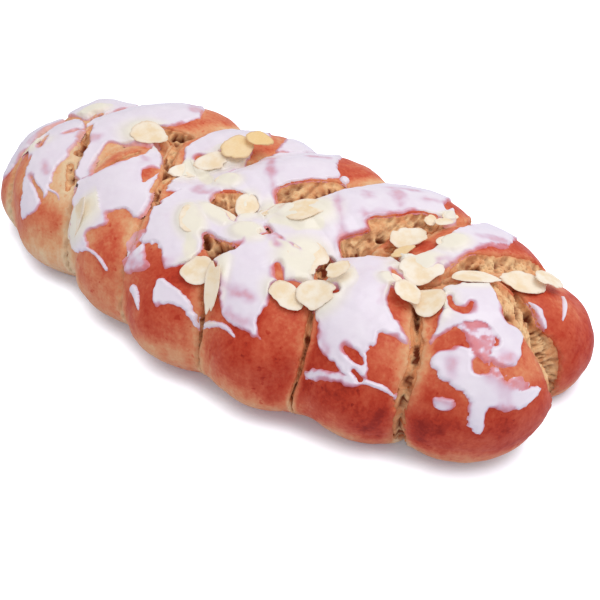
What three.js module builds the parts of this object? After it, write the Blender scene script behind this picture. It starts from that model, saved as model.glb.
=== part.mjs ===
// A braided easter loaf of three strands, with sliced almonds scattered on its back.
// +X runs along the loaf to its blunt end, +Y to the side that the strands lean away
// from, and +Z up; the loaf rests on z = 0. All lengths are millimetres.
import * as THREE from 'three';

// ---- The whole loaf ----------------------------------------------------------
const AXIS_HALF = 118;          // half the length of the axis that the skin's rays start from
const AXIS_HEIGHT = 24;
const RAY_FLATNESS = 0.5;       // spreads the rays evenly over a body wider than high
const SEAM_ROUNDING = 0.6;      // how softly two rises of dough run into each other
const FOOT_FILL = 11;           // extra rounding low on the left, where the rises touched
const FILL_ALONG = [-112, -70]; // it fades in over these values of -x, of -y and of -z
const FILL_ACROSS = [25, 60];
const FILL_LOW = [-42, -14];

// ---- The soft middle that shows between the rises ------------------------------
const CORE_HALF_LENGTH = 150;
const CORE_HALF_WIDTH = 64;
const CORE_HEIGHT = 36;
const CORE_CENTRE = 16;
const CORE_SLICE = 30;          // reach of one slice of the middle along the loaf
const CORE_SLICES = 26;
const CORE_TAPER = 3;           // how late the middle narrows towards its ends

// ---- One rise of a strand: from its covered inner end, over the top, to its foot --
// Each profile is read by the share of the way along the rise.
const WAY = [0, 0.25, 0.55, 0.82, 1];
const RISE_HEIGHT = [32, 35.5, 35.5, 31, 27];
const RISE_RADIUS = [21, 24, 26, 27, 28];
const RISE_ROUNDNESS = [0.84, 0.8, 0.76, 0.72, 0.68];   // 1 is round, less is a wide pillow
const FOOT_DROP = 5;            // the foot lies below the last point and further out
const FOOT_STEP = 1.5;
const FOOT_RADIUS = 26;
const BALLS_PER_RISE = 16;

// Plan of each rise: inner end first, foot last. `lift` raises it, `swell` fattens it,
// `round` makes it a rounder and narrower roll.
const RISES = [
  { plan: [[116, 2], [125, -10], [129, -23], [138, -33]], lift: -1, swell: 2.5, round: 0.1 },
  { plan: [[69, -17], [78, -27], [88, -33], [105, -39]], lift: -2.5, swell: 3, round: 0 },
  { plan: [[4, -26], [19, -36], [34, -42], [55, -49]], lift: -0.5, swell: 2, round: 0 },
  { plan: [[-42, -22], [-30, -32], [-11, -44], [9, -53]], lift: -0.5, swell: 2, round: 0 },
  { plan: [[-80, -2], [-76, -18], [-59, -36], [-36, -48]], lift: 0, swell: 1.5, round: 0 },
  { plan: [[-137, -4], [-126, -19], [-114, -31], [-95, -38]], lift: -2, swell: 0.5, round: 0 },
  { plan: [[-148, -4], [-146, -12], [-141, -22], [-135, -31]], lift: -7, swell: -2, round: 0.1 },
  { plan: [[131, 14], [141, 17], [148, 19], [151, 24]], lift: -9, swell: -1.5, round: 0.16 },
  { plan: [[88, -16], [98, 0], [107, 18], [111, 26], [119, 35]], lift: -1, swell: 0, round: 0 },
  { plan: [[52, -43], [34, -22], [46, 9], [63, 29], [75, 40]], lift: 1, swell: 1.5, round: 0 },
  { plan: [[2, -36], [-14, -14], [0, 13], [15, 33], [24, 44]], lift: 1, swell: 0, round: 0 },
  { plan: [[-48, -30], [-62, -6], [-48, 17], [-33, 35], [-21, 45]], lift: 0, swell: -1, round: 0 },
  { plan: [[-98, -36], [-106, -12], [-97, 11], [-85, 29], [-77, 39]], lift: 0, swell: 2, round: 0 },
  { plan: [[-146, 2], [-140, 10], [-133, 17], [-126, 24]], lift: -6, swell: -1, round: 0.05 },
];

// ---- Skin grid of the loaf -----------------------------------------------------
const SIDE_COLUMNS = 50;        // columns of the grid along each long side
const END_COLUMNS = 22;         // columns fanned around each end
const ROWS = 27;                // rows from the edge of the underside up to the ridge
const COLUMN_LEAN = 45;         // sideways lean of the columns, along the seams of the braid
const EDGE_STEP = 0.05;         // radians, first coarse step down to the tray
const EDGE_HALVINGS = 18;       // halvings that then find where the skin meets the tray
const LOWEST_TURN = -1.4;

// ---- Almond slices ---------------------------------------------------------------
const SLICE_THICK = 1.2;
const SLICE_POINTS = 12;        // corners of a slice's outline
const SLICE_TAPER = 0.22;       // how much one end is narrower than the other
const SLICE_EDGE_WOBBLE = 0.05;
const SLICE_WAVES = 3;
const SLICE_CURL = 0.05;        // rise of the long ends over the length
const BREAD_GAP = 0.9;          // clear space kept over the crust
const STACK_GAP = 0.6;          // clear space kept over another slice
const STACK_MARGIN = 1.2;       // another slice's outline is taken this much larger
const FEEL_SHARES = [0, 0.4, 0.75, 1];   // how far out from its middle a slice feels the crust
const MAX_SLOPE = 1.4;

// Places on the back of the loaf: x, y, length, width, turn in degrees, extra tilt.
const SLICES = [
  [-139, 10, 14, 8, 50, 0], [-140, -38, 12, 9, 40, 0], [-83, 2, 21, 15, 20, 0],
  [-72, -66, 14, 11, 100, 0], [-46, -8, 18, 9, 62, 0], [-38, 3, 16, 9, 50, 0],
  [-19, -6, 11, 9, 30, 0], [-31, 18, 17, 14, 65, 0.1], [-23, 29, 14, 9, 20, 0.1],
  [-11, -44, 17, 10, -40, 0], [-3, -31, 17, 8, 8, 0], [3, -17, 15, 9, 115, 0],
  [17, -34, 13, 10, 10, 0], [15, -10, 14, 10, 60, 0], [31, -5, 21, 16, 50, 0],
  [50, -32, 19, 17, 120, 0], [56, -56, 16, 10, -5, 0], [67, -49, 16, 14, 40, 0],
  [69, -35, 12, 9, 95, 0], [11, -65, 13, 12, 0, 0], [23, -69, 19, 6, -62, 0],
  [92, -23, 9, 7, 20, 0], [98, -7, 20, 18, 30, 0], [82, 11, 18, 12, 35, 0.15],
  [84, 0, 11, 7, 60, 0], [111, -26, 16, 14, -60, 0], [102, -28, 12, 10, -30, 0],
  [122, 1, 20, 9, 40, 0], [139, 19, 20, 12, 30, 0], [148, 28, 13, 12, 80, 0],
  [90, 39, 8, 5, 55, 0], [84, 29, 7, 5, 80, 0], [91, 30, 9, 6, 35, 0],
  [101, 17, 12, 9, 40, 0],
];

// ---- Colours ----------------------------------------------------------------------
const CRUST_COLOUR = 0xc77a45;
const CRUST_ROUGHNESS = 0.45;
const ALMOND_COLOUR = 0xeadfc0;
const TOASTED_COLOUR = 0xd8b878;
const ALMOND_ROUGHNESS = 0.55;
const TOASTED_EVERY = 4;

// Reads a profile given at the stations of WAY.
function readProfile(values, way) {
  let index = 0;
  while (index < WAY.length - 2 && way > WAY[index + 1]) {
    index += 1;
  }
  const share = (way - WAY[index]) / (WAY[index + 1] - WAY[index]);
  return THREE.MathUtils.lerp(values[index], values[index + 1], share);
}

// A rise as a row of balls, each widened across the rise into a pillow.
function ballsOfRise(rise) {
  const points = rise.plan.map((place) => new THREE.Vector3(place[0], place[1], 0));
  const path = new THREE.CatmullRomCurve3(points, false, 'centripetal');
  const direction = points[points.length - 1].clone().sub(points[0]).normalize();
  const across = new THREE.Vector3(-direction.y, direction.x, 0);
  const balls = [];
  for (let index = 0; index < BALLS_PER_RISE; index += 1) {
    const way = index / (BALLS_PER_RISE - 1);
    const centre = path.getPoint(way);
    centre.z = readProfile(RISE_HEIGHT, way) + rise.lift;
    balls.push({
      centre,
      radius: readProfile(RISE_RADIUS, way) + rise.swell,
      round: readProfile(RISE_ROUNDNESS, way) + rise.round,
      across,
    });
  }
  const last = balls[balls.length - 1];
  const foot = last.centre.clone().addScaledVector(direction, FOOT_STEP);
  foot.z -= FOOT_DROP;
  balls.push({ centre: foot, radius: FOOT_RADIUS + rise.swell, round: last.round, across });
  return balls;
}

const ROWS_OF_BALLS = RISES.map(ballsOfRise);

// How far a ray runs before it leaves a pillow-shaped ball; a miss counts as zero.
function leaveBall(start, ray, ball) {
  const offset = start.clone().sub(ball.centre);
  const squash = 1 - ball.round * ball.round;
  const acrossOffset = offset.dot(ball.across);
  const acrossRay = ray.dot(ball.across);
  const square = 1 - acrossRay * acrossRay * squash;
  const half = offset.dot(ray) - acrossOffset * acrossRay * squash;
  const rest = offset.lengthSq() - acrossOffset * acrossOffset * squash - ball.radius ** 2;
  const root = half * half - square * rest;
  return root > 0 ? (Math.sqrt(root) - half) / square : 0;
}

// How far a ray runs inside the soft middle, a row of upright ellipses.
function leaveCore(start, ray) {
  let far = 0;
  const reach = CORE_HALF_LENGTH - CORE_SLICE / 2;
  for (let index = 0; index < CORE_SLICES; index += 1) {
    const x = THREE.MathUtils.lerp(-reach, reach, index / (CORE_SLICES - 1));
    const fall = 1 - Math.abs(x / CORE_HALF_LENGTH) ** CORE_TAPER;
    const size = new THREE.Vector3(
      CORE_SLICE,
      CORE_HALF_WIDTH * Math.sqrt(fall),
      CORE_HEIGHT * Math.cbrt(fall),
    );
    const offset = start.clone().sub(new THREE.Vector3(x, 0, CORE_CENTRE)).divide(size);
    const scaled = ray.clone().divide(size);
    const square = scaled.lengthSq();
    const half = offset.dot(scaled);
    const root = half * half - square * (offset.lengthSq() - 1);
    if (root > 0) {
      far = Math.max(far, (Math.sqrt(root) - half) / square);
    }
  }
  return far;
}

// The rounding at a place on the skin: small, but large low on the left side, where the
// rises touched early in the oven and only shallow creases are left between them.
function grownTogether(place) {
  const fade = (value, range) => THREE.MathUtils.smoothstep(value, range[0], range[1]);
  return SEAM_ROUNDING + FOOT_FILL
    * fade(-place.x, FILL_ALONG) * fade(-place.y, FILL_ACROSS) * fade(-place.z, FILL_LOW);
}

// The skin along a ray: the furthest rise wins, and near ties melt into each other.
function skinDistance(start, ray) {
  const distances = ROWS_OF_BALLS.map((balls) =>
    Math.max(...balls.map((ball) => leaveBall(start, ray, ball))));
  distances.push(leaveCore(start, ray));
  const far = Math.max(...distances);
  const rounding = grownTogether(start.clone().addScaledVector(ray, far));
  const sum = distances.reduce((total, value) => total + Math.exp((value - far) / rounding), 0);
  return far + rounding * Math.log(sum);
}

// The skin seen from the long axis: `x` along it, `heading` in plan, `turn` upwards.
function skinPoint(x, heading, turn) {
  const start = new THREE.Vector3(x, 0, AXIS_HEIGHT);
  const flat = Math.cos(turn);
  const ray = new THREE.Vector3(
    flat * Math.cos(heading),
    flat * Math.sin(heading),
    RAY_FLATNESS * Math.sin(turn),
  ).normalize();
  return start.clone().addScaledVector(ray, skinDistance(start, ray));
}

// A point of a column: on the long sides the column leans with the seams, most in the middle.
function columnPoint(place, turn) {
  const fade = place.end ? 0 : (1 - (place.x / AXIS_HALF) ** 2) ** 2;
  const lean = COLUMN_LEAN * Math.cos(Math.max(turn, 0)) * fade;
  return skinPoint(place.x + lean, place.heading, turn);
}

// The first turn below level at which a column's skin comes down to the tray.
function edgeTurn(place) {
  let low = -EDGE_STEP;
  while (low > LOWEST_TURN && columnPoint(place, low).z > 0) {
    low -= EDGE_STEP;
  }
  let high = low + EDGE_STEP;
  for (let step = 0; step < EDGE_HALVINGS; step += 1) {
    const middle = (low + high) / 2;
    if (columnPoint(place, middle).z > 0) {
      high = middle;
    } else {
      low = middle;
    }
  }
  return low;
}

// Columns of the grid, counterclockwise: one long side, an end, the other side, an end.
// `ridge` numbers the point of the ridge, and of the underside's middle, it ends on.
function columnPlaces() {
  const places = [];
  const step = (2 * AXIS_HALF) / SIDE_COLUMNS;
  for (const end of [1, -1]) {
    const quarter = -end * (Math.PI / 2);
    for (let index = 0; index < SIDE_COLUMNS; index += 1) {
      const x = end * (index * step - AXIS_HALF);
      const ridge = Math.round((x + AXIS_HALF) / step);
      places.push({ x, heading: quarter, end: false, ridge });
    }
    for (let index = 0; index < END_COLUMNS; index += 1) {
      const heading = quarter + (Math.PI * index) / END_COLUMNS;
      const ridge = end > 0 ? SIDE_COLUMNS : 0;
      places.push({ x: end * AXIS_HALF, heading, end: true, ridge });
    }
  }
  return places;
}

function makeBread() {
  const places = columnPlaces();
  const positions = [];
  const keep = (point) => positions.push(point.x, point.y, point.z);
  for (const place of places) {
    const edge = edgeTurn(place);
    for (let row = 0; row < ROWS; row += 1) {
      const point = columnPoint(place, THREE.MathUtils.lerp(edge, Math.PI / 2, row / ROWS));
      point.z = row === 0 ? 0 : point.z;
      keep(point);
    }
  }
  const ridgeStart = places.length * ROWS;
  for (let index = 0; index <= SIDE_COLUMNS; index += 1) {
    const x = THREE.MathUtils.lerp(-AXIS_HALF, AXIS_HALF, index / SIDE_COLUMNS);
    keep(skinPoint(x, 0, Math.PI / 2));
    keep(new THREE.Vector3(x, 0, 0));
  }
  const faces = [];
  const addFace = (a, b, c) => {
    if (a !== b && b !== c && a !== c) {
      faces.push(a, b, c);
    }
  };
  const addQuad = (a, b, c, d) => {
    addFace(a, b, c);
    addFace(a, c, d);
  };
  places.forEach((place, column) => {
    const other = (column + 1) % places.length;
    const here = column * ROWS;
    const there = other * ROWS;
    const ridgeHere = ridgeStart + 2 * place.ridge;
    const ridgeThere = ridgeStart + 2 * places[other].ridge;
    addQuad(ridgeHere + 1, ridgeThere + 1, there, here);
    for (let row = 0; row < ROWS - 1; row += 1) {
      addQuad(here + row, there + row, there + row + 1, here + row + 1);
    }
    addQuad(here + ROWS - 1, there + ROWS - 1, ridgeThere, ridgeHere);
  });
  const geometry = new THREE.BufferGeometry();
  geometry.setAttribute('position', new THREE.Float32BufferAttribute(positions, 3));
  geometry.setIndex(faces);
  geometry.computeVertexNormals();
  return geometry;
}

// Height of the bread's back above a place on the tray.
function backHeight(x, y) {
  return skinDistance(new THREE.Vector3(x, y, 0), new THREE.Vector3(0, 0, 1));
}

// Outline of an almond slice around its own middle, pointed at one end and turned in plan.
function sliceOutline(length, width, turn, seed) {
  const outline = [];
  for (let index = 0; index < SLICE_POINTS; index += 1) {
    const angle = (2 * Math.PI * index) / SLICE_POINTS;
    const wobble = 1 + SLICE_EDGE_WOBBLE * Math.sin(SLICE_WAVES * angle + seed);
    const u = (length / 2) * Math.cos(angle) * wobble;
    const v = (width / 2) * Math.sin(angle) * (1 - SLICE_TAPER * Math.cos(angle)) * wobble;
    outline.push({
      dx: u * Math.cos(turn) - v * Math.sin(turn),
      dy: u * Math.sin(turn) + v * Math.cos(turn),
      curl: (SLICE_CURL * u * u) / (length / 2),
    });
  }
  return outline;
}

// Slope of the crust under an outline, from all its corners at once.
function crustSlope(x, y, outline) {
  let [xx, xy, yy, xz, yz] = [0, 0, 0, 0, 0];
  const middle = backHeight(x, y);
  for (const { dx, dy } of outline) {
    const rise = backHeight(x + dx, y + dy) - middle;
    xx += dx * dx;
    xy += dx * dy;
    yy += dy * dy;
    xz += dx * rise;
    yz += dy * rise;
  }
  const area = xx * yy - xy * xy;
  return [(xz * yy - yz * xy) / area, (yz * xx - xz * xy) / area];
}

// Tells how high another slice reaches at a place, or -1 beside it.
function topOfOther(other, x, y) {
  const dx = x - other.x;
  const dy = y - other.y;
  const u = dx * Math.cos(other.turn) + dy * Math.sin(other.turn);
  const v = dy * Math.cos(other.turn) - dx * Math.sin(other.turn);
  const inside = Math.hypot(u / (other.length / 2 + STACK_MARGIN), v / (other.width / 2 + STACK_MARGIN));
  if (inside > 1) {
    return -1;
  }
  return other.height + other.slopeX * dx + other.slopeY * dy + other.thick
    + (SLICE_CURL * u * u) / (other.length / 2);
}

// Lays one slice on the bread and on the slices already there.
function placeSlice(entry, seed, laid) {
  const [x, y, length, width, degrees, tilt] = entry;
  const turn = THREE.MathUtils.degToRad(degrees);
  const outline = sliceOutline(length, width, turn, seed);
  const limit = (value) => THREE.MathUtils.clamp(value, -MAX_SLOPE, MAX_SLOPE);
  const slopes = crustSlope(x, y, outline);
  const slopeX = limit(slopes[0]);
  const slopeY = limit(slopes[1] + tilt);
  let height = 0;
  for (const share of FEEL_SHARES) {
    for (const { dx, dy, curl } of outline) {
      const u = dx * share;
      const v = dy * share;
      const plane = slopeX * u + slopeY * v + curl * share * share;
      height = Math.max(height, backHeight(x + u, y + v) + BREAD_GAP - plane);
      for (const other of laid) {
        height = Math.max(height, topOfOther(other, x + u, y + v) + STACK_GAP - plane);
      }
    }
  }
  const thick = SLICE_THICK * Math.hypot(1, slopeX, slopeY);
  const place = { x, y, length, width, turn, slopeX, slopeY, height, outline, thick };
  laid.push(place);
  return place;
}

// A slice as a closed thin body: a fan below, a fan above and a narrow rim.
function makeSlice(place) {
  const positions = [];
  const point = (dx, dy, extra) => {
    positions.push(dx, dy, place.slopeX * dx + place.slopeY * dy + extra);
  };
  point(0, 0, 0);
  point(0, 0, place.thick);
  for (const { dx, dy, curl } of place.outline) {
    point(dx, dy, curl);
    point(dx, dy, curl + place.thick);
  }
  const faces = [];
  const count = place.outline.length;
  for (let index = 0; index < count; index += 1) {
    const low = 2 + 2 * index;
    const nextLow = 2 + 2 * ((index + 1) % count);
    faces.push(0, nextLow, low);
    faces.push(1, low + 1, nextLow + 1);
    faces.push(low, nextLow, nextLow + 1);
    faces.push(low, nextLow + 1, low + 1);
  }
  const geometry = new THREE.BufferGeometry();
  geometry.setAttribute('position', new THREE.Float32BufferAttribute(positions, 3));
  geometry.setIndex(faces);
  geometry.computeVertexNormals();
  return geometry;
}

function material(color, roughness) {
  return new THREE.MeshStandardMaterial({ color, roughness, metalness: 0 });
}

const loaf = new THREE.Group();
loaf.name = 'braided_loaf';

const bread = new THREE.Mesh(makeBread(), material(CRUST_COLOUR, CRUST_ROUGHNESS));
bread.name = 'bread';
loaf.add(bread);

const laid = [];
SLICES.forEach((entry, index) => {
  const place = placeSlice(entry, index, laid);
  const colour = index % TOASTED_EVERY === TOASTED_EVERY - 1 ? TOASTED_COLOUR : ALMOND_COLOUR;
  const slice = new THREE.Mesh(makeSlice(place), material(colour, ALMOND_ROUGHNESS));
  slice.name = `almond_slice_${String(index + 1).padStart(2, '0')}`;
  slice.position.set(place.x, place.y, place.height);
  loaf.add(slice);
});

// The frame's origin is the middle of the underside.
const extent = new THREE.Box3().setFromObject(loaf);
const middle = extent.getCenter(new THREE.Vector3());
loaf.position.set(-middle.x, -middle.y, 0);

export default loaf;
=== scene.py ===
# %% [markdown]
# # A braided easter loaf
# A plait of sweet yeast dough, baked red-brown, then iced with sugar icing and strewn
# with sliced almonds while the icing is wet. The script follows the baker: the dough, the
# places where the oven tore it open, the icing, the almonds, the finishes, and last a
# small studio to look at it in. The same run always gives the same loaf.

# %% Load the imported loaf
import bpy
import numpy as np
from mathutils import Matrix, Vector


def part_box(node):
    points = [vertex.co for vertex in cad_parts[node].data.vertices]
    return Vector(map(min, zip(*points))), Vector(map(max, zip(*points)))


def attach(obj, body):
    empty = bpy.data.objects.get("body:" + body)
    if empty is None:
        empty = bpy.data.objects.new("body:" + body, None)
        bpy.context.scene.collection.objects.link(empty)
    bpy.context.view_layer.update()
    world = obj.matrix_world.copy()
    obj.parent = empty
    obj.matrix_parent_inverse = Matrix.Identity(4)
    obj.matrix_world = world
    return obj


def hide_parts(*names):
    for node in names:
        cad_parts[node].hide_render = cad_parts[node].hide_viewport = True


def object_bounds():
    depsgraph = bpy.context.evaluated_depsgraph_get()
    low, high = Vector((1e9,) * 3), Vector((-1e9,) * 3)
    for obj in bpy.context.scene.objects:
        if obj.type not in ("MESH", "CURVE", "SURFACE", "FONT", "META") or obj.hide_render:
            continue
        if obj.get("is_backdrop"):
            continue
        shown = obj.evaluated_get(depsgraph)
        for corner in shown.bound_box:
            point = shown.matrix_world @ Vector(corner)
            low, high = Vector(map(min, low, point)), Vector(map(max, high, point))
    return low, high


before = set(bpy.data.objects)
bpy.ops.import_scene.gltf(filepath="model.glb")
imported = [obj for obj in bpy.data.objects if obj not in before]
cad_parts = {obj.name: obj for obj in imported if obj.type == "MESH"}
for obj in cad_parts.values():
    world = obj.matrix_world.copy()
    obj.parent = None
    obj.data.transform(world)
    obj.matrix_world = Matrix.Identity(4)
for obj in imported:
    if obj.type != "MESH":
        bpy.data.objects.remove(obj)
cad_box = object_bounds()
METRES = 0.001  # the loaf is worked out in millimetres
slice_nodes = sorted(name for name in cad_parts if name.startswith("almond_slice"))
print("packed box", [round(v, 4) for corner in cad_box for v in corner])
print(len(slice_nodes), "almond slices and one bread")

# %% [markdown]
# ## Numbers that look random and never change
# Baked dough, crumb and dried icing are uneven at many scales. One way is Blender's own
# noise textures with a Displace modifier. Here the noise is made of numpy functions,
# because icing, crumb and crust must read exactly the same unevenness to lie on each
# other without gaps. The whole number that ends a call is its seed: it only says which
# pattern comes out.

# %% Noise for the surfaces
MASK = 0xFFFFFFFF


def cell_number(cells, seed):
    """A fixed number from 0 to 1 for each whole-number cell: its three numbers are
    multiplied by large odd numbers and mixed, and high bits are folded onto low ones."""
    x, y, z = np.moveaxis(cells, -1, 0)
    mixed = (x * 73856093) ^ (y * 19349663) ^ (z * 83492791) ^ (seed * 97531 + 7919)
    mixed = (mixed & MASK).astype(np.uint64)
    mixed = ((mixed ^ (mixed >> np.uint64(15))) * np.uint64(2246822519)) & np.uint64(MASK)
    mixed = ((mixed ^ (mixed >> np.uint64(13))) * np.uint64(3266489917)) & np.uint64(MASK)
    return (mixed ^ (mixed >> np.uint64(16))) / float(MASK)


def cloud(points, size, seed):
    """Soft noise from -1 to 1 with blobs about `size` wide: numbers on the corners of a
    cubic lattice, blended by 3s^2 - 2s^3 of the place s inside the cell."""
    place = points / size
    cell = np.floor(place).astype(np.int64)
    step = place - cell
    step = step * step * (3 - 2 * step)
    total = np.zeros(points.shape[:-1])
    for corner in np.ndindex(2, 2, 2):
        weight = np.prod(np.where(np.array(corner) == 1, step, 1 - step), axis=-1)
        total += weight * cell_number(cell + np.array(corner), seed)
    return 2 * total - 1


def clouds(points, strength, size, layers, seed):
    """Layers of cloud noise, each half as wide and half as strong as the one before."""
    total = 0
    for layer in range(layers):
        total = total + cloud(points, size / 2 ** layer, seed + layer) / 2 ** layer
    return strength * total


def bubbles(points, size, seed):
    """Distance, in cells, from each point to the nearest bubble centre, where every cell
    of a cubic lattice `size` wide holds one centre at a fixed random place."""
    place = points / size
    cell = np.floor(place).astype(np.int64)
    nearest = np.full(points.shape[:-1], 9.0)
    for corner in np.ndindex(3, 3, 3):
        other = cell + np.array(corner) - 1
        centre = np.stack([cell_number(other, seed + axis) for axis in range(3)], -1)
        nearest = np.minimum(nearest, np.linalg.norm(place - other - centre, axis=-1))
    return nearest


def ease(value, low, high):
    """0 below `low`, 1 above `high`, and a smooth step between."""
    share = np.clip((value - low) / (high - low), 0, 1)
    return share * share * (3 - 2 * share)


# %% [markdown]
# ## The dough
# A braid shows each strand as a row of rises: the strand comes up from under its
# neighbour, arches over the back, and dives under at the foot. The rises could be
# sculpted or made from metaballs. Here each is a row of pillow-shaped balls along a
# curve, because a few plain sizes then say where every rise lies and how plump it is.

# %% Rises of the braid
WAY = [0, 0.25, 0.55, 0.82, 1]  # stations from the inner end to the foot
RISE_HEIGHT = [32, 35.5, 35.5, 31, 27]
RISE_RADIUS = [21, 24, 26, 27, 28]
RISE_ROUNDNESS = [0.84, 0.8, 0.76, 0.72, 0.68]
FOOT_DROP = 5
FOOT_STEP = 1.5
FOOT_RADIUS = 26
BALLS_PER_RISE = 16

# Left rises from the blunt end to the far end, then right rises: plan in mm from the
# inner end to the foot, then how much the rise is lifted, fattened and rounded.
RISES = {
    "L1": ([[116, 2], [125, -10], [129, -23], [138, -33]], -1, 2.5, 0.1),
    "L2": ([[69, -17], [78, -27], [88, -33], [105, -39]], -2.5, 3, 0),
    "L3": ([[4, -26], [19, -36], [34, -42], [55, -49]], -0.5, 2, 0),
    "L4": ([[-42, -22], [-30, -32], [-11, -44], [9, -53]], -0.5, 2, 0),
    "L5": ([[-80, -2], [-76, -18], [-59, -36], [-36, -48]], 0, 1.5, 0),
    "L6": ([[-137, -4], [-126, -19], [-114, -31], [-95, -38]], -2, 0.5, 0),
    "L7": ([[-148, -4], [-146, -12], [-141, -22], [-135, -31]], -7, -2, 0.1),
    "R1": ([[131, 14], [141, 17], [148, 19], [151, 24]], -9, -1.5, 0.16),
    "R2": ([[88, -16], [98, 0], [107, 18], [111, 26], [119, 35]], -1, 0, 0),
    "R3": ([[52, -43], [34, -22], [46, 9], [63, 29], [75, 40]], 1, 1.5, 0),
    "R4": ([[2, -36], [-14, -14], [0, 13], [15, 33], [24, 44]], 1, 0, 0),
    "R5": ([[-48, -30], [-62, -6], [-48, 17], [-33, 35], [-21, 45]], 0, -1, 0),
    "R6": ([[-98, -36], [-106, -12], [-97, 11], [-85, 29], [-77, 39]], 0, 2, 0),
    "R7": ([[-146, 2], [-140, 10], [-133, 17], [-126, 24]], -6, -1, 0.05),
}
RISE_NAMES = list(RISES)


def smooth_path(places, count):
    """A centripetal Catmull-Rom curve through `places`, read at `count` even shares: each
    stretch is a cubic with end slopes from its neighbours, spaced by the root of their
    distances."""
    places = np.array(places, float)
    places = np.vstack([2 * places[0] - places[1], places, 2 * places[-1] - places[-2]])
    share = np.linspace(0, len(places) - 3, count)
    index = np.minimum(share.astype(int), len(places) - 4)
    way = (share - index)[:, None]
    before, start, end, after = (places[index + offset] for offset in range(4))
    gap = [np.sqrt(np.linalg.norm(b - a, axis=1))[:, None]
           for a, b in ((before, start), (start, end), (end, after))]
    leave = ((start - before) / gap[0] - (end - before) / (gap[0] + gap[1])
             + (end - start) / gap[1]) * gap[1]
    arrive = ((end - start) / gap[1] - (after - start) / (gap[1] + gap[2])
              + (after - end) / gap[2]) * gap[1]
    return (start + leave * way + (3 * (end - start) - 2 * leave - arrive) * way ** 2
            + (2 * (start - end) + leave + arrive) * way ** 3)


def pillows(name):
    """Centres, radii and roundness of a rise's balls, and the direction across it."""
    plan, lift, swell, rounder = RISES[name]
    way = np.linspace(0, 1, BALLS_PER_RISE)
    height = np.interp(way, WAY, RISE_HEIGHT) + lift
    centres = np.column_stack([smooth_path(plan, BALLS_PER_RISE), height])
    along = np.subtract(plan[-1], plan[0]) / np.linalg.norm(np.subtract(plan[-1], plan[0]))
    foot = [*(centres[-1, :2] + along * FOOT_STEP), centres[-1, 2] - FOOT_DROP]
    radii = np.append(np.interp(way, WAY, RISE_RADIUS), FOOT_RADIUS) + swell
    roundness = np.interp(way, WAY, RISE_ROUNDNESS) + rounder
    across = np.array([-along[1], along[0], 0])
    return np.vstack([centres, foot]), radii, np.append(roundness, roundness[-1]), across


PILLOWS = {name: pillows(name) for name in RISE_NAMES}

# %% [markdown]
# ## The skin over all rises
# The baked loaf has one skin. Joining meshes with Boolean or Remesh would give it, but
# unevenly. Here a ray leaves the loaf's long axis for every point of a grid, and the
# skin is where the ray leaves the last ball: the furthest rise wins, and near ties melt
# into each other. How far ahead the winning rise is also tells how far off the nearest
# seam is.

# %% Rays that find the skin
CORE_HALF_LENGTH = 150
CORE_HALF_WIDTH = 64
CORE_HEIGHT = 36
CORE_CENTRE = 16
CORE_SLICE = 30
CORE_SLICES = 26
CORE_TAPER = 3
SEAM_ROUNDING = 0.6
MISS = 1e-9
FOOT_FILL = 11  # extra rounding low on the left, where the rises touched
FILL_FROM = ((-112, -70), (25, 60), (-42, -14))  # mm along -x, -y and -z where it grows in


def dot(first, second):
    """The dot product of each row with the same row of the other array."""
    return np.einsum("ij,ij->i", first, second)


def larger_root(square, half, rest):
    """The larger root of square t^2 + 2 half t + rest = 0, or 0 where a ray misses."""
    root = half ** 2 - square * rest
    return np.where(root > 0, (np.sqrt(np.maximum(root, 0)) - half) / square, 0)


def leave_balls(start, ray, name):
    """How far each ray runs before it leaves the rise: the larger root of the quadratic
    for a ball that is widened across the rise, and the furthest of its balls."""
    centres, radii, roundness, across = PILLOWS[name]
    far = np.zeros(len(start))
    ray_across = ray @ across
    for centre, radius, rounding in zip(centres, radii, roundness):
        offset = start - centre
        squash = 1 - rounding ** 2
        offset_across = offset @ across
        square = 1 - ray_across ** 2 * squash
        half = dot(offset, ray) - offset_across * ray_across * squash
        rest = dot(offset, offset) - offset_across ** 2 * squash
        far = np.maximum(far, larger_root(square, half, rest - radius ** 2))
    return far


def leave_core(start, ray):
    """The same for the soft middle between the rises, a row of upright ellipses that
    shrink towards both ends."""
    far = np.zeros(len(start))
    reach = CORE_HALF_LENGTH - CORE_SLICE / 2
    for x in np.linspace(-reach, reach, CORE_SLICES):
        fall = 1 - abs(x / CORE_HALF_LENGTH) ** CORE_TAPER
        size = [CORE_SLICE, CORE_HALF_WIDTH * fall ** 0.5, CORE_HEIGHT * np.cbrt(fall)]
        offset = (start - [x, 0, CORE_CENTRE]) / size
        scaled = ray / size
        root = larger_root(dot(scaled, scaled), dot(offset, scaled), dot(offset, offset) - 1)
        far = np.maximum(far, root)
    return far


def leave_all(start, ray):
    """One row of distances for each rise, and a last row for the soft middle."""
    return np.array([leave_balls(start, ray, name) for name in RISE_NAMES]
                    + [leave_core(start, ray)])


def melt(distances, rounding):
    """A soft maximum: rounding times the logarithm of the sum of exp(distance/rounding)."""
    far = distances.max(0)
    return far + rounding * np.log(np.exp((distances - far) / rounding).sum(0))


def grown_together(start, ray, distances):
    """The rounding in mm at each ray: small, but large low on the left side, where the
    rises touched early in the oven and only shallow creases are left between them."""
    place = start + distances.max(0)[:, None] * ray
    along, aside, down = (ease(-place[:, axis], *FILL_FROM[axis]) for axis in range(3))
    return SEAM_ROUNDING + FOOT_FILL * (along * aside * down)


# %% [markdown]
# ## One grid for crust, crumb and icing
# The grid's columns stand side by side around the tray edge, like the staves of a barrel,
# and its rows climb from the tray to the ridge. Around each end the columns fan out. On
# the long sides they lean with the braid's seams, so that a seam runs along a column
# instead of crossing many.

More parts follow.
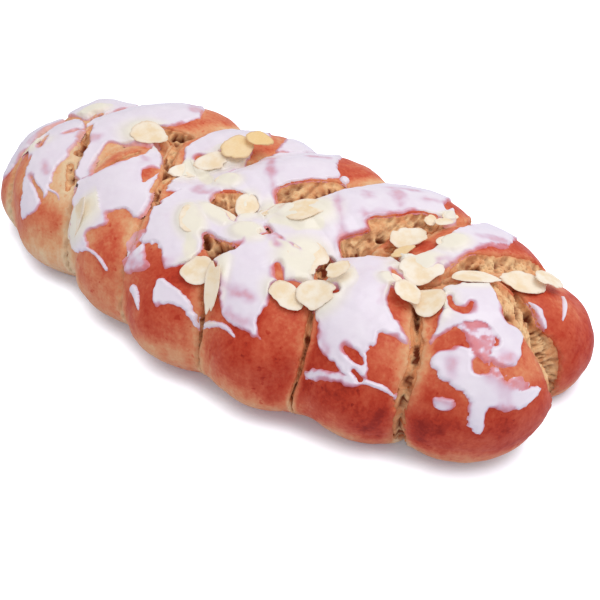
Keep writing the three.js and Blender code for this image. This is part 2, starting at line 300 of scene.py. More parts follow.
# %% Columns and rows
AXIS_HALF = 118
AXIS_HEIGHT = 24
RAY_FLATNESS = 0.5
COLUMN_LEAN = 45
GUIDE_WIDTH = 78  # half axes of the ellipse that spaces the rows evenly
GUIDE_HEIGHT = 39
LOWEST_TURN = -1.4
GUIDE_STEPS = 800
EDGE_STEP = 0.05
EDGE_HALVINGS = 14

guide_turn = np.linspace(LOWEST_TURN, np.pi / 2, GUIDE_STEPS)
guide_steps = np.hypot(GUIDE_WIDTH * np.diff(np.cos(guide_turn)),
                       GUIDE_HEIGHT * np.diff(np.sin(guide_turn)))
guide_length = np.append(0, np.cumsum(guide_steps))


def column_places(side_columns, end_columns):
    """Axis place, heading, end or side, and ridge point of each column, counterclockwise:
    left side, blunt end, right side, far end."""
    step = 2 * AXIS_HALF / side_columns
    rows = []
    for end in (1, -1):
        quarter = -end * np.pi / 2
        along = np.arange(side_columns)
        x = end * (along * step - AXIS_HALF)
        ridge = np.round((x + AXIS_HALF) / step)
        rows.append(np.column_stack([x, np.full_like(x, quarter), 0 * x, ridge]))
        heading = quarter + np.pi * np.arange(end_columns) / end_columns
        last = side_columns if end > 0 else 0
        rows.append(np.column_stack([np.full_like(heading, end * AXIS_HALF), heading,
                                     np.ones_like(heading), np.full_like(heading, last)]))
    return np.vstack(rows)


def rays_of(places, turn):
    """Start and direction of the ray of each column at each turn above level."""
    x, heading, is_end = places[..., 0], places[..., 1], places[..., 2]
    fade = np.where(is_end > 0, 0, (1 - (x / AXIS_HALF) ** 2) ** 2)
    x = x + COLUMN_LEAN * np.cos(np.maximum(turn, 0)) * fade
    flat = np.cos(turn)
    ray = np.stack([flat * np.cos(heading), flat * np.sin(heading),
                    RAY_FLATNESS * np.sin(turn)], -1)
    ray /= np.linalg.norm(ray, axis=-1, keepdims=True)
    start = np.stack([x, 0 * x, np.full_like(x, AXIS_HEIGHT)], -1)
    return start.reshape(-1, 3), ray.reshape(-1, 3)


def tray_turns(places):
    """The first turn below level at which each column's skin comes down to the tray."""
    def skin_height(turn):
        start, ray = rays_of(places, turn)
        far = leave_all(start, ray)
        return start[:, 2] + melt(far, grown_together(start, ray, far)) * ray[:, 2]

    low = np.full(len(places), LOWEST_TURN)
    high = np.zeros(len(places))
    found = np.zeros(len(places), bool)
    for turn in np.arange(-EDGE_STEP, LOWEST_TURN, -EDGE_STEP):
        hit = (skin_height(np.full(len(places), turn)) <= 0) & ~found
        low[hit] = turn
        found |= hit
        high[~found] = turn
    for _ in range(EDGE_HALVINGS):
        middle = (low + high) / 2
        above = skin_height(middle) > 0
        high = np.where(above, middle, high)
        low = np.where(above, low, middle)
    return low


def lay_grid(side_columns, end_columns, rows):
    """Skin points of the whole grid, with shared ridge points: a dictionary of the point
    numbers by column and row, each point's place, its distances to every rise and its
    ray, and the outward triangles."""
    places = column_places(side_columns, end_columns)
    lowest = np.interp(tray_turns(places), guide_turn, guide_length)
    share = np.linspace(0, 1, rows + 1)
    length = lowest[:, None] + (guide_length[-1] - lowest[:, None]) * share
    turn = np.interp(length, guide_length, guide_turn)
    numbers = np.arange(len(places))[:, None] * rows + np.arange(rows + 1)
    numbers[:, rows] = len(places) * rows + places[:, 3]
    _, first = np.unique(numbers, return_index=True)
    wide = np.broadcast_to(places[:, None, :], turn.shape + (4,)).reshape(-1, 4)[first]
    start, ray = rays_of(wide, turn.reshape(-1)[first])
    distances = leave_all(start, ray)
    rounding = grown_together(start, ray, distances)
    here, there = numbers, np.roll(numbers, -1, axis=0)
    quads = np.stack([here[:, :-1], there[:, :-1], there[:, 1:], here[:, 1:]], -1)
    quads = quads.reshape(-1, 4)
    triangles = np.vstack([quads[:, [0, 1, 2]], quads[:, [0, 2, 3]]])
    flat = ((triangles[:, 0] == triangles[:, 1]) | (triangles[:, 1] == triangles[:, 2])
            | (triangles[:, 0] == triangles[:, 2]))
    row = np.broadcast_to(np.arange(rows + 1), numbers.shape).reshape(-1)[first]
    return {"start": start, "ray": ray, "distances": distances, "numbers": numbers,
            "rounding": rounding, "triangles": triangles[~flat], "row": row, "places": places}


def skin(grid, least=0.0):
    """Places of the skin on the grid's rays, with at least that much rounding."""
    far = melt(grid["distances"], np.maximum(grid["rounding"], least))
    return grid["start"] + far[:, None] * grid["ray"]


def outward(points, triangles):
    """Unit normals at the points: the sum of the cross products of their triangles."""
    a, b, c = points[triangles].transpose(1, 0, 2)
    faces = np.cross(b - a, c - a)
    normals = np.stack([sum(np.bincount(triangles[:, k], faces[:, axis], len(points))
                            for k in range(3)) for axis in range(3)], -1)
    return normals / np.maximum(np.linalg.norm(normals, axis=1, keepdims=True), MISS)


crust_grid = lay_grid(255, 84, 144)
fine_grid = lay_grid(410, 150, 215)
crust_raw = skin(crust_grid)
bread_low, bread_high = (np.array(corner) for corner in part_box("bread"))
shift = (bread_low + bread_high) / 2 / METRES - (crust_raw.min(0) + crust_raw.max(0)) / 2
shift[2] = 0
print("crust grid", crust_raw.shape, "fine grid", len(fine_grid["row"]), "shift", shift.round(2))

# %% [markdown]
# ## Shapes drawn from above
# Tears, puddles and drips are drawn as the maker sees them, looking straight down. A loop
# lists x and y of its corners in mm, a stroke x, y and half its width. A grease-pencil
# drawing or a painted mask would do as well, but one list serves every mesh at any
# fineness and gives a true distance in millimetres from its edge.

# %% Loops and strokes on the dough
DRAWING_REACH = 12  # mm beyond which a shape is not felt
PIECES_PER_CORNER = 4
STEEPEST = 0.08  # keeps distances finite on upright walls


def round_off(corners, closed):
    """A uniform Catmull-Rom curve through the corners: each stretch is a cubic whose end
    slopes are half the chord between the neighbouring corners."""
    corners = np.reshape(corners, (-1, 2 if closed else 3)).astype(float)
    corners = np.pad(corners, ((0, 0), (0, 3 - corners.shape[1])))
    last = len(corners) if closed else len(corners) - 1
    share = np.linspace(0, last, last * PIECES_PER_CORNER + 1)
    index = np.minimum(share.astype(int), last - 1)
    way = (share - index)[:, None]
    turned = [(index + step) % len(corners) if closed
              else np.clip(index + step, 0, len(corners) - 1) for step in (-1, 0, 1, 2)]
    a, b, c, d = (corners[numbers] for numbers in turned)
    return b + 0.5 * ((c - a) * way + (2 * a - 5 * b + 4 * c - d) * way ** 2
                      + (3 * b - a - 3 * c + d) * way ** 3)


def inside_of(points, normals, corners, closed):
    """Millimetres along the skin from each point to the edge of a drawn shape, positive
    inside. The flat distance is divided by the root of 1 - (direction . normal)^2, since
    a slope looks shortened from above. A point is inside a loop when a line from it
    crosses the loop an odd number of times."""
    line = round_off(corners, closed)
    low = line[:, :2].min(0) - DRAWING_REACH
    high = line[:, :2].max(0) + DRAWING_REACH
    flat_place = points[:, :2]
    near = np.flatnonzero(((flat_place > low) & (flat_place < high)).all(1))
    plan, tilt = flat_place[near], normals[near, :2]
    best = np.full(len(near), float(DRAWING_REACH))
    within = np.zeros(len(near), bool)
    for start, end in zip(line, line[1:]):
        edge = end[:2] - start[:2]
        offset = plan - start[:2]
        share = np.clip(offset @ edge / max(edge @ edge, MISS), 0, 1)
        gap = offset - share[:, None] * edge
        flat = np.maximum(np.hypot(gap[:, 0], gap[:, 1]), MISS)
        fall = np.maximum(1 - (dot(gap, tilt) / flat) ** 2, STEEPEST)
        best = np.minimum(best, flat / np.sqrt(fall) - start[2] - share * (end[2] - start[2]))
        if closed and edge[1]:
            crossed = (offset[:, 1] < 0) != (offset[:, 1] < edge[1])
            within ^= crossed & (offset[:, 0] < edge[0] * offset[:, 1] / edge[1])
    depth = np.full(len(points), -float(DRAWING_REACH))
    depth[near] = np.where(within, np.abs(best), -best) if closed else -best
    return depth


def union(points, normals, loops=(), strokes=()):
    """The deepest of several drawn shapes at each point."""
    depth = np.full(len(points), -float(DRAWING_REACH))
    for shapes, closed in ((loops, True), (strokes, False)):
        for corners in shapes:
            depth = np.maximum(depth, inside_of(points, normals, corners, closed))
    return depth


# %% [markdown]
# ## Where the oven tore the crust
# Proofed strands swell faster than their crust can stretch, so they split beside the
# seams and show fibrous golden crumb. Wide tears lie under a lip of crust on the flanks
# of the right rises; on the left the splits follow the seams. Cutting with a Boolean
# would leave clean edges; the crust is dented instead and the crumb laid in.

# %% Tears and cracks
WIDE_TEARS = [
    [8, 4, 12, 12, 21, 24, 28, 30, 35, 31, 35, 22, 30, 12, 25, 6, 22, 0, 13, -3],
    [58, -14, 57, -8, 64, 2, 61, 8, 71, 20, 75, 27, 82, 33, 88, 34, 88, 25, 80, 18, 75, 10, 70, -6,
     70, -14, 63, -16],
    [110, -4, 109, 4, 113, 15, 122, 24, 127, 32, 140, 43, 142, 39, 140, 29, 131, 20, 122, 9, 115, 4],
    [57, -21, 64, -27, 64, -34, 58, -35, 56, -29],
    [0, -47, 3, -45, 19, -46, 16, -51, 11, -55, 5, -52],
    [-16, -22, -15, -16, -4, -10, -3, -18, -6, -26, -13, -26],
    [129, 8, 143, 10, 150, 3, 166, 3, 174, -6, 173, -21, 157, -16, 150, -13, 143, -15, 136, -6, 130, 0],
    [-83, 11, -72, 18, -63, 21, -66, 13, -72, 8],
    [-77, -12, -74, -18, -78, -33, -81, -35, -79, -20],
]
TORN_STROKES = [
    [-68, 10, 2.6, -60, -6, 3, -50, -18, 2.4, -47, -26, 1.6, -42, -36, 1.8, -36, -41, 1.4],
    [-118, -10, 1.2, -115, -16, 2.2, -107, -27, 2.4, -108, -31, 1.4],
    [-131, 10, 0.9, -133, 5, 1.2, -134, 1, 0.8], [-137, -28, 1, -131, -37, 0.9],
    [75, 2, 1.2, 78, 5, 1.2, 81, 7, 0.8], [103, -14, 0.8, 109, -9, 1.3, 116, -8, 1],
    [-104, -40, 1.8, -98, -46, 2.2, -94, -52, 1.4],
]
# Deep holes in the tears; the crumb in them is darkened with painted shade.
SHADED_HOLES = [
    [1, -47, 1.6, 4, -49, 2.2, 4, -52, 1.2], [9, -48, 1.5, 14, -49, 2.1, 19, -47, 1.6],
    [62, -27, 1.4, 61, -31, 1.4], [146, 0, 1.4, 146, -4, 1.5], [139, 12, 1],
    [158, -10, 1.2, 160, -9, 1], [164, -16, 1.3], [-73, 13, 1.4, -70, 16, 1.2],
    [-76, -18, 1, -78, -26, 1.4, -79, -31, 1.3], [-104, -35, 1.6],
    [113, 4, 0.8, 116, 7, 1.2, 119, 11, 1.1], [122, 22, 1], [132, 31, 0.9], [70, 3, 1.3, 72, 4, 1],
    [-97, -47, 1.2], [-36, -40, 0.9, -38, -44, 0.9], [-24, 18, 1, -22, 20, 1],
    [-50, -24, 0.8, -52, -16, 0.9], [135, 31, 0.8], [110, -3, 0.9], [83, 19, 0.9, 86, 22, 0.8],
    [65, -14, 0.8, 69, -13, 0.9], [18, -70, 0.8, 19, -73, 0.9], [20, -82, 0.8], [152, -6, 1.1],
    [169, -10, 1], [166, -4, 1.2], [140, 2, 1.1], [153, 0, 0.9],
]
# Cracks along seams: the two rises, half width in mm, and how far over the back it runs.
CRACKS = [
    ("L1", "L2", 1.8, -30), ("L2", "L3", 1.0, -38), ("L3", "L4", 0.7, -52),
    ("L4", "L5", 0.1, -54), ("L5", "L6", 0.5, -46), ("L6", "L7", 0.3, -30),
    ("L1", "R1", 2.2, 8), ("L7", "R7", 0.4, 0),
]
BACK_CRACK = 1.3  # half width of the cracks on the far side
BACK_START = 52
CRACK_FADE = 0.25
CRACK_FOOT = 9  # height in mm below which the cracks close
CRACK_CLOSED = 1.6
LEAD_TO_MM = 1.4  # lead of a rise grows this fast per mm away from a seam
SEAM_SEARCH = 8
TEAR_COARSE = (0.6, 3.6, 1, 41)  # noises here and below: mm, size, layers and seed
TEAR_FINE = (0.3, 1.4, 1, 42)


def seams_near(grid):
    """Millimetres from each point to the nearest seam, and the two rises that meet."""
    order = np.argsort(-grid["distances"][:-1], axis=0)[:2]
    ahead = np.take_along_axis(grid["distances"], order, axis=0)
    return (ahead[0] - ahead[1]) / LEAD_TO_MM, np.sort(order, axis=0)


def torn(points, normals, grid):
    """Millimetres inside the torn places, positive where crumb shows."""
    depth = union(points, normals, WIDE_TEARS, TORN_STROKES)
    seam, meeting = seams_near(grid)
    for first, second, width, limit in CRACKS:
        pair = sorted((RISE_NAMES.index(first), RISE_NAMES.index(second)))
        here = (meeting[0] == pair[0]) & (meeting[1] == pair[1])
        crack = width - seam - CRACK_FADE * np.maximum(points[:, 1] - limit, 0)
        crack = crack - CRACK_CLOSED * ease(-points[:, 2], -CRACK_FOOT, 0)
        depth = np.maximum(depth, np.where(here, crack, -SEAM_SEARCH))
    behind = (points[:, 1] > 0) & (meeting[0] >= RISE_NAMES.index("R1"))
    crack = BACK_CRACK - seam - CRACK_FADE * np.maximum(BACK_START - points[:, 1], 0)
    depth = np.maximum(depth, np.where(behind, crack, -SEAM_SEARCH))
    return depth + clouds(points, *TEAR_COARSE) + clouds(points, *TEAR_FINE)


# %% [markdown]
# ## The crust
# The crust follows the skin, with the slow swell of uneven dough, small blisters, and a
# lip where it was torn. It gets two numbers per point for its finish: how near a tear it
# is, and how brown it baked, where the pale foot is partly painted light. Painting them by
# hand would be the other way; measured from the shape they stay true when the shape changes.

# %% One way to make every mesh
FLOOR_FADE = 4  # mm above the tray where unevenness starts


def place_object(name, data):
    """An object that shows this mesh, lamp or camera."""
    thing = bpy.data.objects.new(name, data)
    bpy.context.scene.collection.objects.link(thing)
    return thing


def make_piece(name, points, triangles, numbers, stands_for=()):
    """A smooth mesh from arrays, in the shared frame, with its named numbers per point."""
    mesh = bpy.data.meshes.new(name)
    mesh.vertices.add(len(points))
    mesh.vertices.foreach_set("co", ((points + shift) * METRES).ravel())
    mesh.loops.add(triangles.size)
    mesh.loops.foreach_set("vertex_index", triangles.ravel().astype(np.int32))
    mesh.polygons.add(len(triangles))
    mesh.polygons.foreach_set("loop_start", np.arange(0, triangles.size, 3, dtype=np.int32))
    mesh.polygons.foreach_set("use_smooth", np.ones(len(triangles), bool))
    for key, values in numbers.items():
        layer = mesh.attributes.new(key, "FLOAT", "POINT")
        layer.data.foreach_set("value", np.ascontiguousarray(values, np.float32))
    mesh.update(calc_edges=True)
    piece = place_object(name, mesh)
    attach(piece, "root")
    if stands_for:
        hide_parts(*stands_for)
    print(name, len(points), "points", len(triangles), "triangles")
    return piece


def closed_sheet(top, bottom, triangles):
    """Two layers of the same triangles, the lower one facing down, with a wall along
    every edge that only one triangle uses."""
    used, faces = np.unique(triangles, return_inverse=True)
    faces = faces.reshape(-1, 3)
    count = len(used)
    edges = np.vstack([faces[:, [0, 1]], faces[:, [1, 2]], faces[:, [2, 0]]])
    key = edges.min(1) * count + edges.max(1)
    _, first, times = np.unique(key, return_index=True, return_counts=True)
    rim = edges[first[times == 1]]
    walls = np.vstack([np.column_stack([rim[:, 1], rim[:, 0], rim[:, 0] + count]),
                       np.column_stack([rim[:, 1], rim[:, 0] + count, rim[:, 1] + count])])
    every = np.vstack([faces, faces[:, ::-1] + count, walls])
    return used, np.vstack([top[used], bottom[used]]), every


# %% Skin with its unevenness
SWELL = (0.9, 30, 2, 11)
BLISTER = (0.22, 7, 2, 15)
TEAR_DEPTH = 5.5
LIP_RAISE = 0.5
LIP_PLACE = -1.3
LIP_WIDTH = 0.9
SEAM_CUT = 2.2  # how much deeper a seam is at its very middle
SEAM_CUT_WIDTH = 1.3
HOLE_DEPTH = 4.5
HOLE_SLOPE = (-1, 1.5)
WALL_TONE = 0.86  # how brown the walls are, and how much less brown these places are
CROWN_PALER = 0.22
FAR_PALER = 0.15
END_PALER = 0.1
# The foot is made paler partly for its real colour and partly as painted light, brightening it where
# the overhang shades it.
FOOT_PALER_AND_LIT = 0.5
SEAM_PALER = 0.3
TEAR_PALER = 0.1
UNDERSIDE_BAKE = 0.25
BAKE_UNEVEN = (0.16, 24, 2, 21)
FOOT_AT = [-110, -75, -45, -20, 0, 45, 90, 140]  # x in mm, and the height there of the pale foot, which is partly painted light
FOOT_HEIGHT = [32, 45, 44, 34, 27, 32, 19, 16]


def relief(points):
    """Unevenness of the dough in mm, fading to nothing at the tray."""
    bumps = clouds(points, *SWELL) + clouds(points, *BLISTER)
    return bumps * ease(points[:, 2], 0, FLOOR_FADE)


def bake(points, seam, tear):
    """0 for pale dough, 1 for dark red-brown crust: walls browned most, crowns, seams and
    torn edges less, and the foot least, which stays pale higher up towards the far end. The
    foot's paleness is partly its real colour and partly painted light that brightens it where
    the overhang shades it."""
    x, y, height = points.T
    tone = WALL_TONE - CROWN_PALER * ease(height, 30, 56) - FAR_PALER * ease(-x, 10, 80)
    tone = tone - END_PALER * ease(x, 135, 165)
    foot = np.interp(x, FOOT_AT, FOOT_HEIGHT)
    tone = tone - FOOT_PALER_AND_LIT * ease(-height / foot, -1.5, -0.4)
    parted = 0.3 + 0.7 * np.maximum(ease(np.abs(x), 50, 80), ease(y, -40, -10))
    tone = tone - SEAM_PALER * parted * ease(-seam, -7, -0.5) - TEAR_PALER * ease(tear, -5, 0)
    return np.clip(tone + clouds(points, *BAKE_UNEVEN), 0, 1)


def surface(grid):
    """The grid's skin, its normals, and the distances to the nearest seam and tear."""
    raw = skin(grid)
    normal = outward(raw, grid["triangles"])
    return raw, normal, seams_near(grid)[0], torn(raw, normal, grid)


def hole_at(points, normals):
    """1 in the deep holes of the tears, whose darkness on the crumb is painted shade, 0 outside them.
    """
    return ease(union(points, normals, strokes=SHADED_HOLES), *HOLE_SLOPE)


crust_raw, crust_normal, crust_seam, crust_tear = surface(crust_grid)
near_floor = ease(crust_raw[:, 2], 0, FLOOR_FADE)
dent = TEAR_DEPTH * ease(crust_tear, -0.5, 1.6) * near_floor
dent = dent + HOLE_DEPTH * hole_at(crust_raw, crust_normal)
lip = LIP_RAISE * np.exp(-((crust_tear - LIP_PLACE) / LIP_WIDTH) ** 2) * near_floor
cut = SEAM_CUT * ease(-crust_seam, -SEAM_CUT_WIDTH, 0) * near_floor
crust_points = crust_raw + (relief(crust_raw) + lip - dent - cut)[:, None] * crust_normal
crust_points[:, 2] = np.maximum(crust_points[:, 2], 0)
crust_points[crust_grid["row"] == 0, 2] = 0

# The underside: every column's edge point is joined to the point below its ray's start.
side_count = len(crust_grid["places"])
edge_numbers = crust_grid["numbers"][:, 0]
middle_x, middle_of = np.unique(crust_grid["places"][:, 0].round(6), return_inverse=True)
middle_numbers = middle_of.reshape(-1) + len(crust_points)
floor_points = np.column_stack([middle_x, 0 * middle_x, 0 * middle_x])
following = np.roll(np.arange(side_count), -1)
under = np.vstack([
    np.column_stack([edge_numbers, middle_numbers, edge_numbers[following]]),
    np.column_stack([middle_numbers, middle_numbers[following], edge_numbers[following]])])
under = under[(under[:, 0] != under[:, 1]) & (under[:, 1] != under[:, 2])]
all_points = np.vstack([crust_points, floor_points])
pad = np.zeros(len(floor_points))
crust_bake_and_light = bake(crust_raw, crust_seam, crust_tear)
loaf_crust = make_piece(
    "loaf_crust", all_points, np.vstack([crust_grid["triangles"], under]),
    {"bake": np.append(crust_bake_and_light, pad + UNDERSIDE_BAKE),
     "tear": np.append(crust_tear, pad - DRAWING_REACH)},
    ["bread"])

# %% [markdown]
# ## The torn crumb
# Inside a tear the dough has pulled apart into short fibres across the crack, with round
# pores between them, and deep places. The darkness of pores, gaps, holes, crack middles
# and the lower edge is painted shade. It could be a displaced plane with a shader; here it
# is a closed sheet with real fibres and pits, because it is seen at a low angle where only
# true relief looks torn.

# %% Fibres and pores
STRAND_GAP = 1.7  # mm between torn strands
STRAND_LENGTH = 7
STRAND_HEIGHT = 0.95
CRUMB_GRAIN = (0.35, 1.5, 1, 59)
PORE_GAP = 3.6
PORE_DEPTH = 1.8
SPONGY_FROM = (100, 130)  # x in mm where fibres give way to small round pores
LEFT_OF = -8  # y in mm that parts the left flank's strands from the right's
CRUMB_SINK = 1.5
CRUMB_THICK = 1.4
CRUMB_MARGIN = 1.1
# How strands run and how they lie side by side, on the left and on the right flank.
STRANDS_LEFT = [(0.55, -0.83, 0), (0.83, 0.55, 0.4)]
STRANDS_RIGHT = [(0.37, 0.84, 0.4), (-0.67, -0.07, 0.74)]
CRACK_SHADE_HALF = 0.6  # half width in mm of the painted shade along the middle of a crack
CRACK_SHADE_ENDS = (118, 130)  # mm towards the blunt end where that painted shade fades
CRUMB_LOWEST = 0.5  # mm above the tray
EDGE_DROP = 1.2  # mm that the sheet dips under the crust beyond a tear
PORE_SHADE = 0.9  # how much painted shade darkens the pores, the gaps between strands and the lower edge
GAP_SHADE = 0.42
EDGE_SHADOW = 0.3


def strand_places(points, along_size, across_size):
    """Places measured along the strands and across them, in shares of two sizes."""
    left = points[:, 1] < LEFT_OF
    along, across = (np.where(left, points @ ours, points @ theirs)
                     for ours, theirs in zip(STRANDS_LEFT, STRANDS_RIGHT))
    return np.column_stack([along / along_size, across / across_size, 0 * along])


fine_raw, fine_normal, fine_seam, fine_tear = surface(fine_grid)
fine_relief = relief(fine_raw)

crumb_here = np.flatnonzero((fine_tear > -CRUMB_MARGIN - 1) & (fine_raw[:, 2] > 0.4))
crumb_place = fine_raw[crumb_here]
strand = strand_places(crumb_place, STRAND_LENGTH, STRAND_GAP)
fibre = 1 - 2 * np.abs(cloud(strand, 1, 51)) - 0.8 * np.abs(cloud(strand * 2.1, 1, 52))
spongy = ease(crumb_place[:, 0], *SPONGY_FROM)
fibre = fibre * (1 - 0.5 * spongy * ease(cloud(crumb_place, 4, 55), -0.3, 0.3))
stretched = strand_places(crumb_place, 1.5 * PORE_GAP, PORE_GAP)
pore = 1 - ease(bubbles(stretched, 1, 53), 0.12, 0.5)
pore = pore * ease(cloud(crumb_place, 9, 54), -0.6, 0)
pinholes = 0.7 - 0.7 * ease(bubbles(crumb_place, PORE_GAP / 2, 57), 0.1, 0.4)
pore = np.maximum(pore, pinholes * (0.3 + 0.7 * spongy)) * (0.7 + 0.3 * spongy)
hole = hole_at(crumb_place, fine_normal[crumb_here])
edge_depth, off_seam = fine_tear[crumb_here], fine_seam[crumb_here]
middle = ease(edge_depth, 0, 2)
# Painted shade along the middle of each crack, broken up by noise.
jagged = CRACK_SHADE_HALF * (1 + 1.5 * cloud(crumb_place, 1.5, 58) + 0.7 * cloud(crumb_place, 5, 60))
crack_shade = ease(jagged - off_seam, -0.25, 0.25) * ease(edge_depth, 0.3, 0.9)
crack_shade = crack_shade * ease(cloud(crumb_place, 6, 61), -0.45, 0.1)
crack_shade = crack_shade * (1 - 0.7 * ease(crumb_place[:, 0] + 0.5 * crumb_place[:, 1], *CRACK_SHADE_ENDS))
height = (STRAND_HEIGHT * fibre * (0.25 + 0.75 * middle) - PORE_DEPTH * pore * middle
          + clouds(crumb_place, *CRUMB_GRAIN)
          - 0.5 - CRUMB_SINK * ease(edge_depth, 0, 2.2) - HOLE_DEPTH * hole
          - EDGE_DROP * ease(-edge_depth, 0, CRUMB_MARGIN)
          - SEAM_CUT * ease(-off_seam, -SEAM_CUT_WIDTH, 0))
crumb_height = np.zeros(len(fine_raw))
crumb_height[crumb_here] = height
crumb_top = fine_raw + (fine_relief + crumb_height)[:, None] * fine_normal
crumb_bottom = crumb_top - CRUMB_THICK * fine_normal
crumb_top[:, 2] = np.maximum(crumb_top[:, 2], CRUMB_LOWEST)
crumb_bottom[:, 2] = np.maximum(crumb_bottom[:, 2], CRUMB_LOWEST - 0.2)
shown = (fine_tear > -CRUMB_MARGIN) & (fine_raw[:, 2] > CRUMB_LOWEST)
crumb_faces = fine_grid["triangles"][shown[fine_grid["triangles"]].all(1)]
crumb_used, crumb_points, crumb_triangles = closed_sheet(crumb_top, crumb_bottom, crumb_faces)
# Painted shade on the crumb: pores, gaps between strands, the middle of a crack, the holes and the
# lower edge are darkened where shade falls.
hollow = np.zeros(len(fine_raw))
# Painted shadow on the lower edge of a tear, where it faces down towards the next rise.
lower_edge_shadow = ease(-edge_depth, -1.2, 0.2) * ease(-fine_normal[crumb_here, 2], -0.9, -0.2)
hollow[crumb_here] = np.clip(PORE_SHADE * pore * middle + GAP_SHADE * ease(-fibre, -0.2, 0.8)
                             + crack_shade + hole + EDGE_SHADOW * lower_edge_shadow, 0, 1)
torn_crumb = make_piece(
    "torn_crumb", crumb_points, crumb_triangles,
    {"hollow": np.tile(hollow[crumb_used], 2), "tear": np.tile(fine_tear[crumb_used], 2)})

# %% [markdown]
# ## The sugar icing
# Sugar icing was ladled along the back while the loaf was warm. It bridges the seams,
# stops short of the tears, runs down in tongues and thin strings, and dries with a
# rounded edge. A fluid simulation could pour it, but could not place the puddles. Here
# each puddle is a loop drawn from above, and its thickness grows from the edge inwards.
# The sheet is parted into a near and a far piece, so that neither holds too many
# triangles, and the two share their normals, so that no line shows.

# %% Where the icing ran
PUDDLES = {
    "L1 back": [112, -13, 124, -3, 131, 2, 140, -9, 152, -15, 156, -30, 151, -37, 144, -35, 145, -27,
        133, -28, 126, -35, 122, -45, 119, -28],
    "L1 foot": [125, -48, 130, -41, 138, -37, 144, -44, 152, -39, 160, -38, 169, -26, 168, -36,
        162, -46, 156, -51, 155, -57, 149, -58, 145, -54, 133, -53],
    "L1 drop": [134, -59, 142, -56, 142, -59, 137, -61],
    "R1": [144, 9, 149, 12, 155, 8, 157, 2, 150, 4],
    "R2": [83, 0, 93, 4, 98, 28, 103, 58, 111, 64, 121, 61, 123, 38, 117, 26, 113, 12, 108, 0, 103, -6,
        97, -14, 86, -6],
    "L2": [60, -18, 75, -9, 81, -4, 95, -13, 95, -26, 101, -38, 116, -46, 110, -48, 102, -49, 103, -55,
        101, -60, 106, -67, 103, -71, 95, -71, 91, -69, 81, -66, 75, -59, 67, -50, 64, -36],
    "L2 blob": [77, -72, 91, -71, 106, -68, 102, -72, 90, -75, 81, -75],
    "L3": [12, -56, 16, -50, 19, -43, 8, -36, 3, -24, 9, -13, 20, -20, 32, -27, 46, -26, 55, -24,
        58, -36, 61, -42, 49, -50, 48, -56, 51, -64, 51, -72, 57, -77, 48, -78, 35, -76, 27, -70,
        19, -61],
    "L4": [-37, -12, -34, -30, -37, -43, -30, -56, -27, -65, -18, -63, -13, -65, -5, -71, 4, -64,
        5, -55, 2, -49, 9, -45, 19, -45, 24, -36, 15, -31, -3, -27, -13, -24, -13, -15, -24, -9],
    "L4 foot": [-30, -70, -32, -74, -23, -77, -13, -73, -21, -68, -25, -64],
    "L4 drip": [-6, -76, 0, -75, 22, -78, 23, -81, 9, -82, 1, -86, -4, -83],
    "L5": [-75, -2, -58, -13, -50, -27, -40, -44, -39, -53, -49, -53, -56, -58, -52, -63, -57, -67,
        -61, -71, -54, -76, -66, -77, -76, -69, -81, -60, -89, -53, -91, -43, -81, -39, -74, -29,
        -72, -12],
    "L6": [-143, -2, -128, -6, -118, -16, -110, -31, -109, -45, -104, -56, -104, -67, -114, -72,
        -122, -62, -129, -50, -140, -38, -142, -22],
    "L7": [-152, -1, -148, -10, -150, -42, -156, -52, -161, -36, -158, -8],
    "R7": [-157, 4, -154, 19, -141, 35, -134, 43, -128, 28, -128, 8, -140, 2],
    "R6": [-124, -6, -111, -18, -105, -28, -96, -44, -84, -42, -94, -28, -91, -12, -74, -3, -81, 10,
        -76, 22, -75, 40, -92, 58, -105, 51, -119, 16],
    "R5": [-57, 34, -60, 18, -60, 8, -50, -9, -40, -30, -26, -18, -24, 8, -26, 25, -33, 35, -30, 46,
        -43, 64, -55, 58],
    "R5 foot": [-25, 60, -21, 44, -17, 37, -6, 52, -7, 64, -19, 68],
    "R4": [-32, -12, -21, 15, -17, 36, 1, 66, 11, 62, 19, 44, 27, 34, 16, 17, 12, 6, 14, -14, 2, -22,
        -8, -12, -15, -14],
    "R3": [12, -6, 27, 4, 37, 24, 54, 58, 66, 67, 80, 62, 84, 46, 88, 38, 74, 21, 65, 8, 63, -15,
        60, -26, 45, -32, 30, -28, 16, -20],
    "R3 back": [86, 36, 87, 48, 95, 38, 90, 33],
    "knot": [26, 36, 31, 37, 33, 32, 29, 31],
}
STRINGS = [
    [100, -71, 1.4, 108, -68, 1.3, 117, -65, 1.1, 125, -63, 0.6],
    [17, -80, 2.2, 28, -79, 1.7, 38, -79, 1.5, 45, -81, 0.8],
    [-18, -82, 2.2, -14, -84, 2.6, -8, -89, 0.8], [-58, -76, 1.6, -48, -77, 1.1, -39, -79, 1],
    [157, 28, 1.2, 160, 22, 1.8, 162, 14, 0.9], [146, 10, 1.3, 151, 9, 1.8, 157, 5, 0.9],
    [-103, -57, 0.8, -97, -57, 0.9, -94, -59, 0.6],
]
BARE_LOOPS = [
    [-97, -18, -92, -13, -80, -9, -76, -14, -78, -28, -83, -36, -91, -34],
    [-60, -26, -56, -19, -54, -20, -53, -33, -57, -30],
    [104, -2, 109, -4, 111, -8, 107, -9],
]
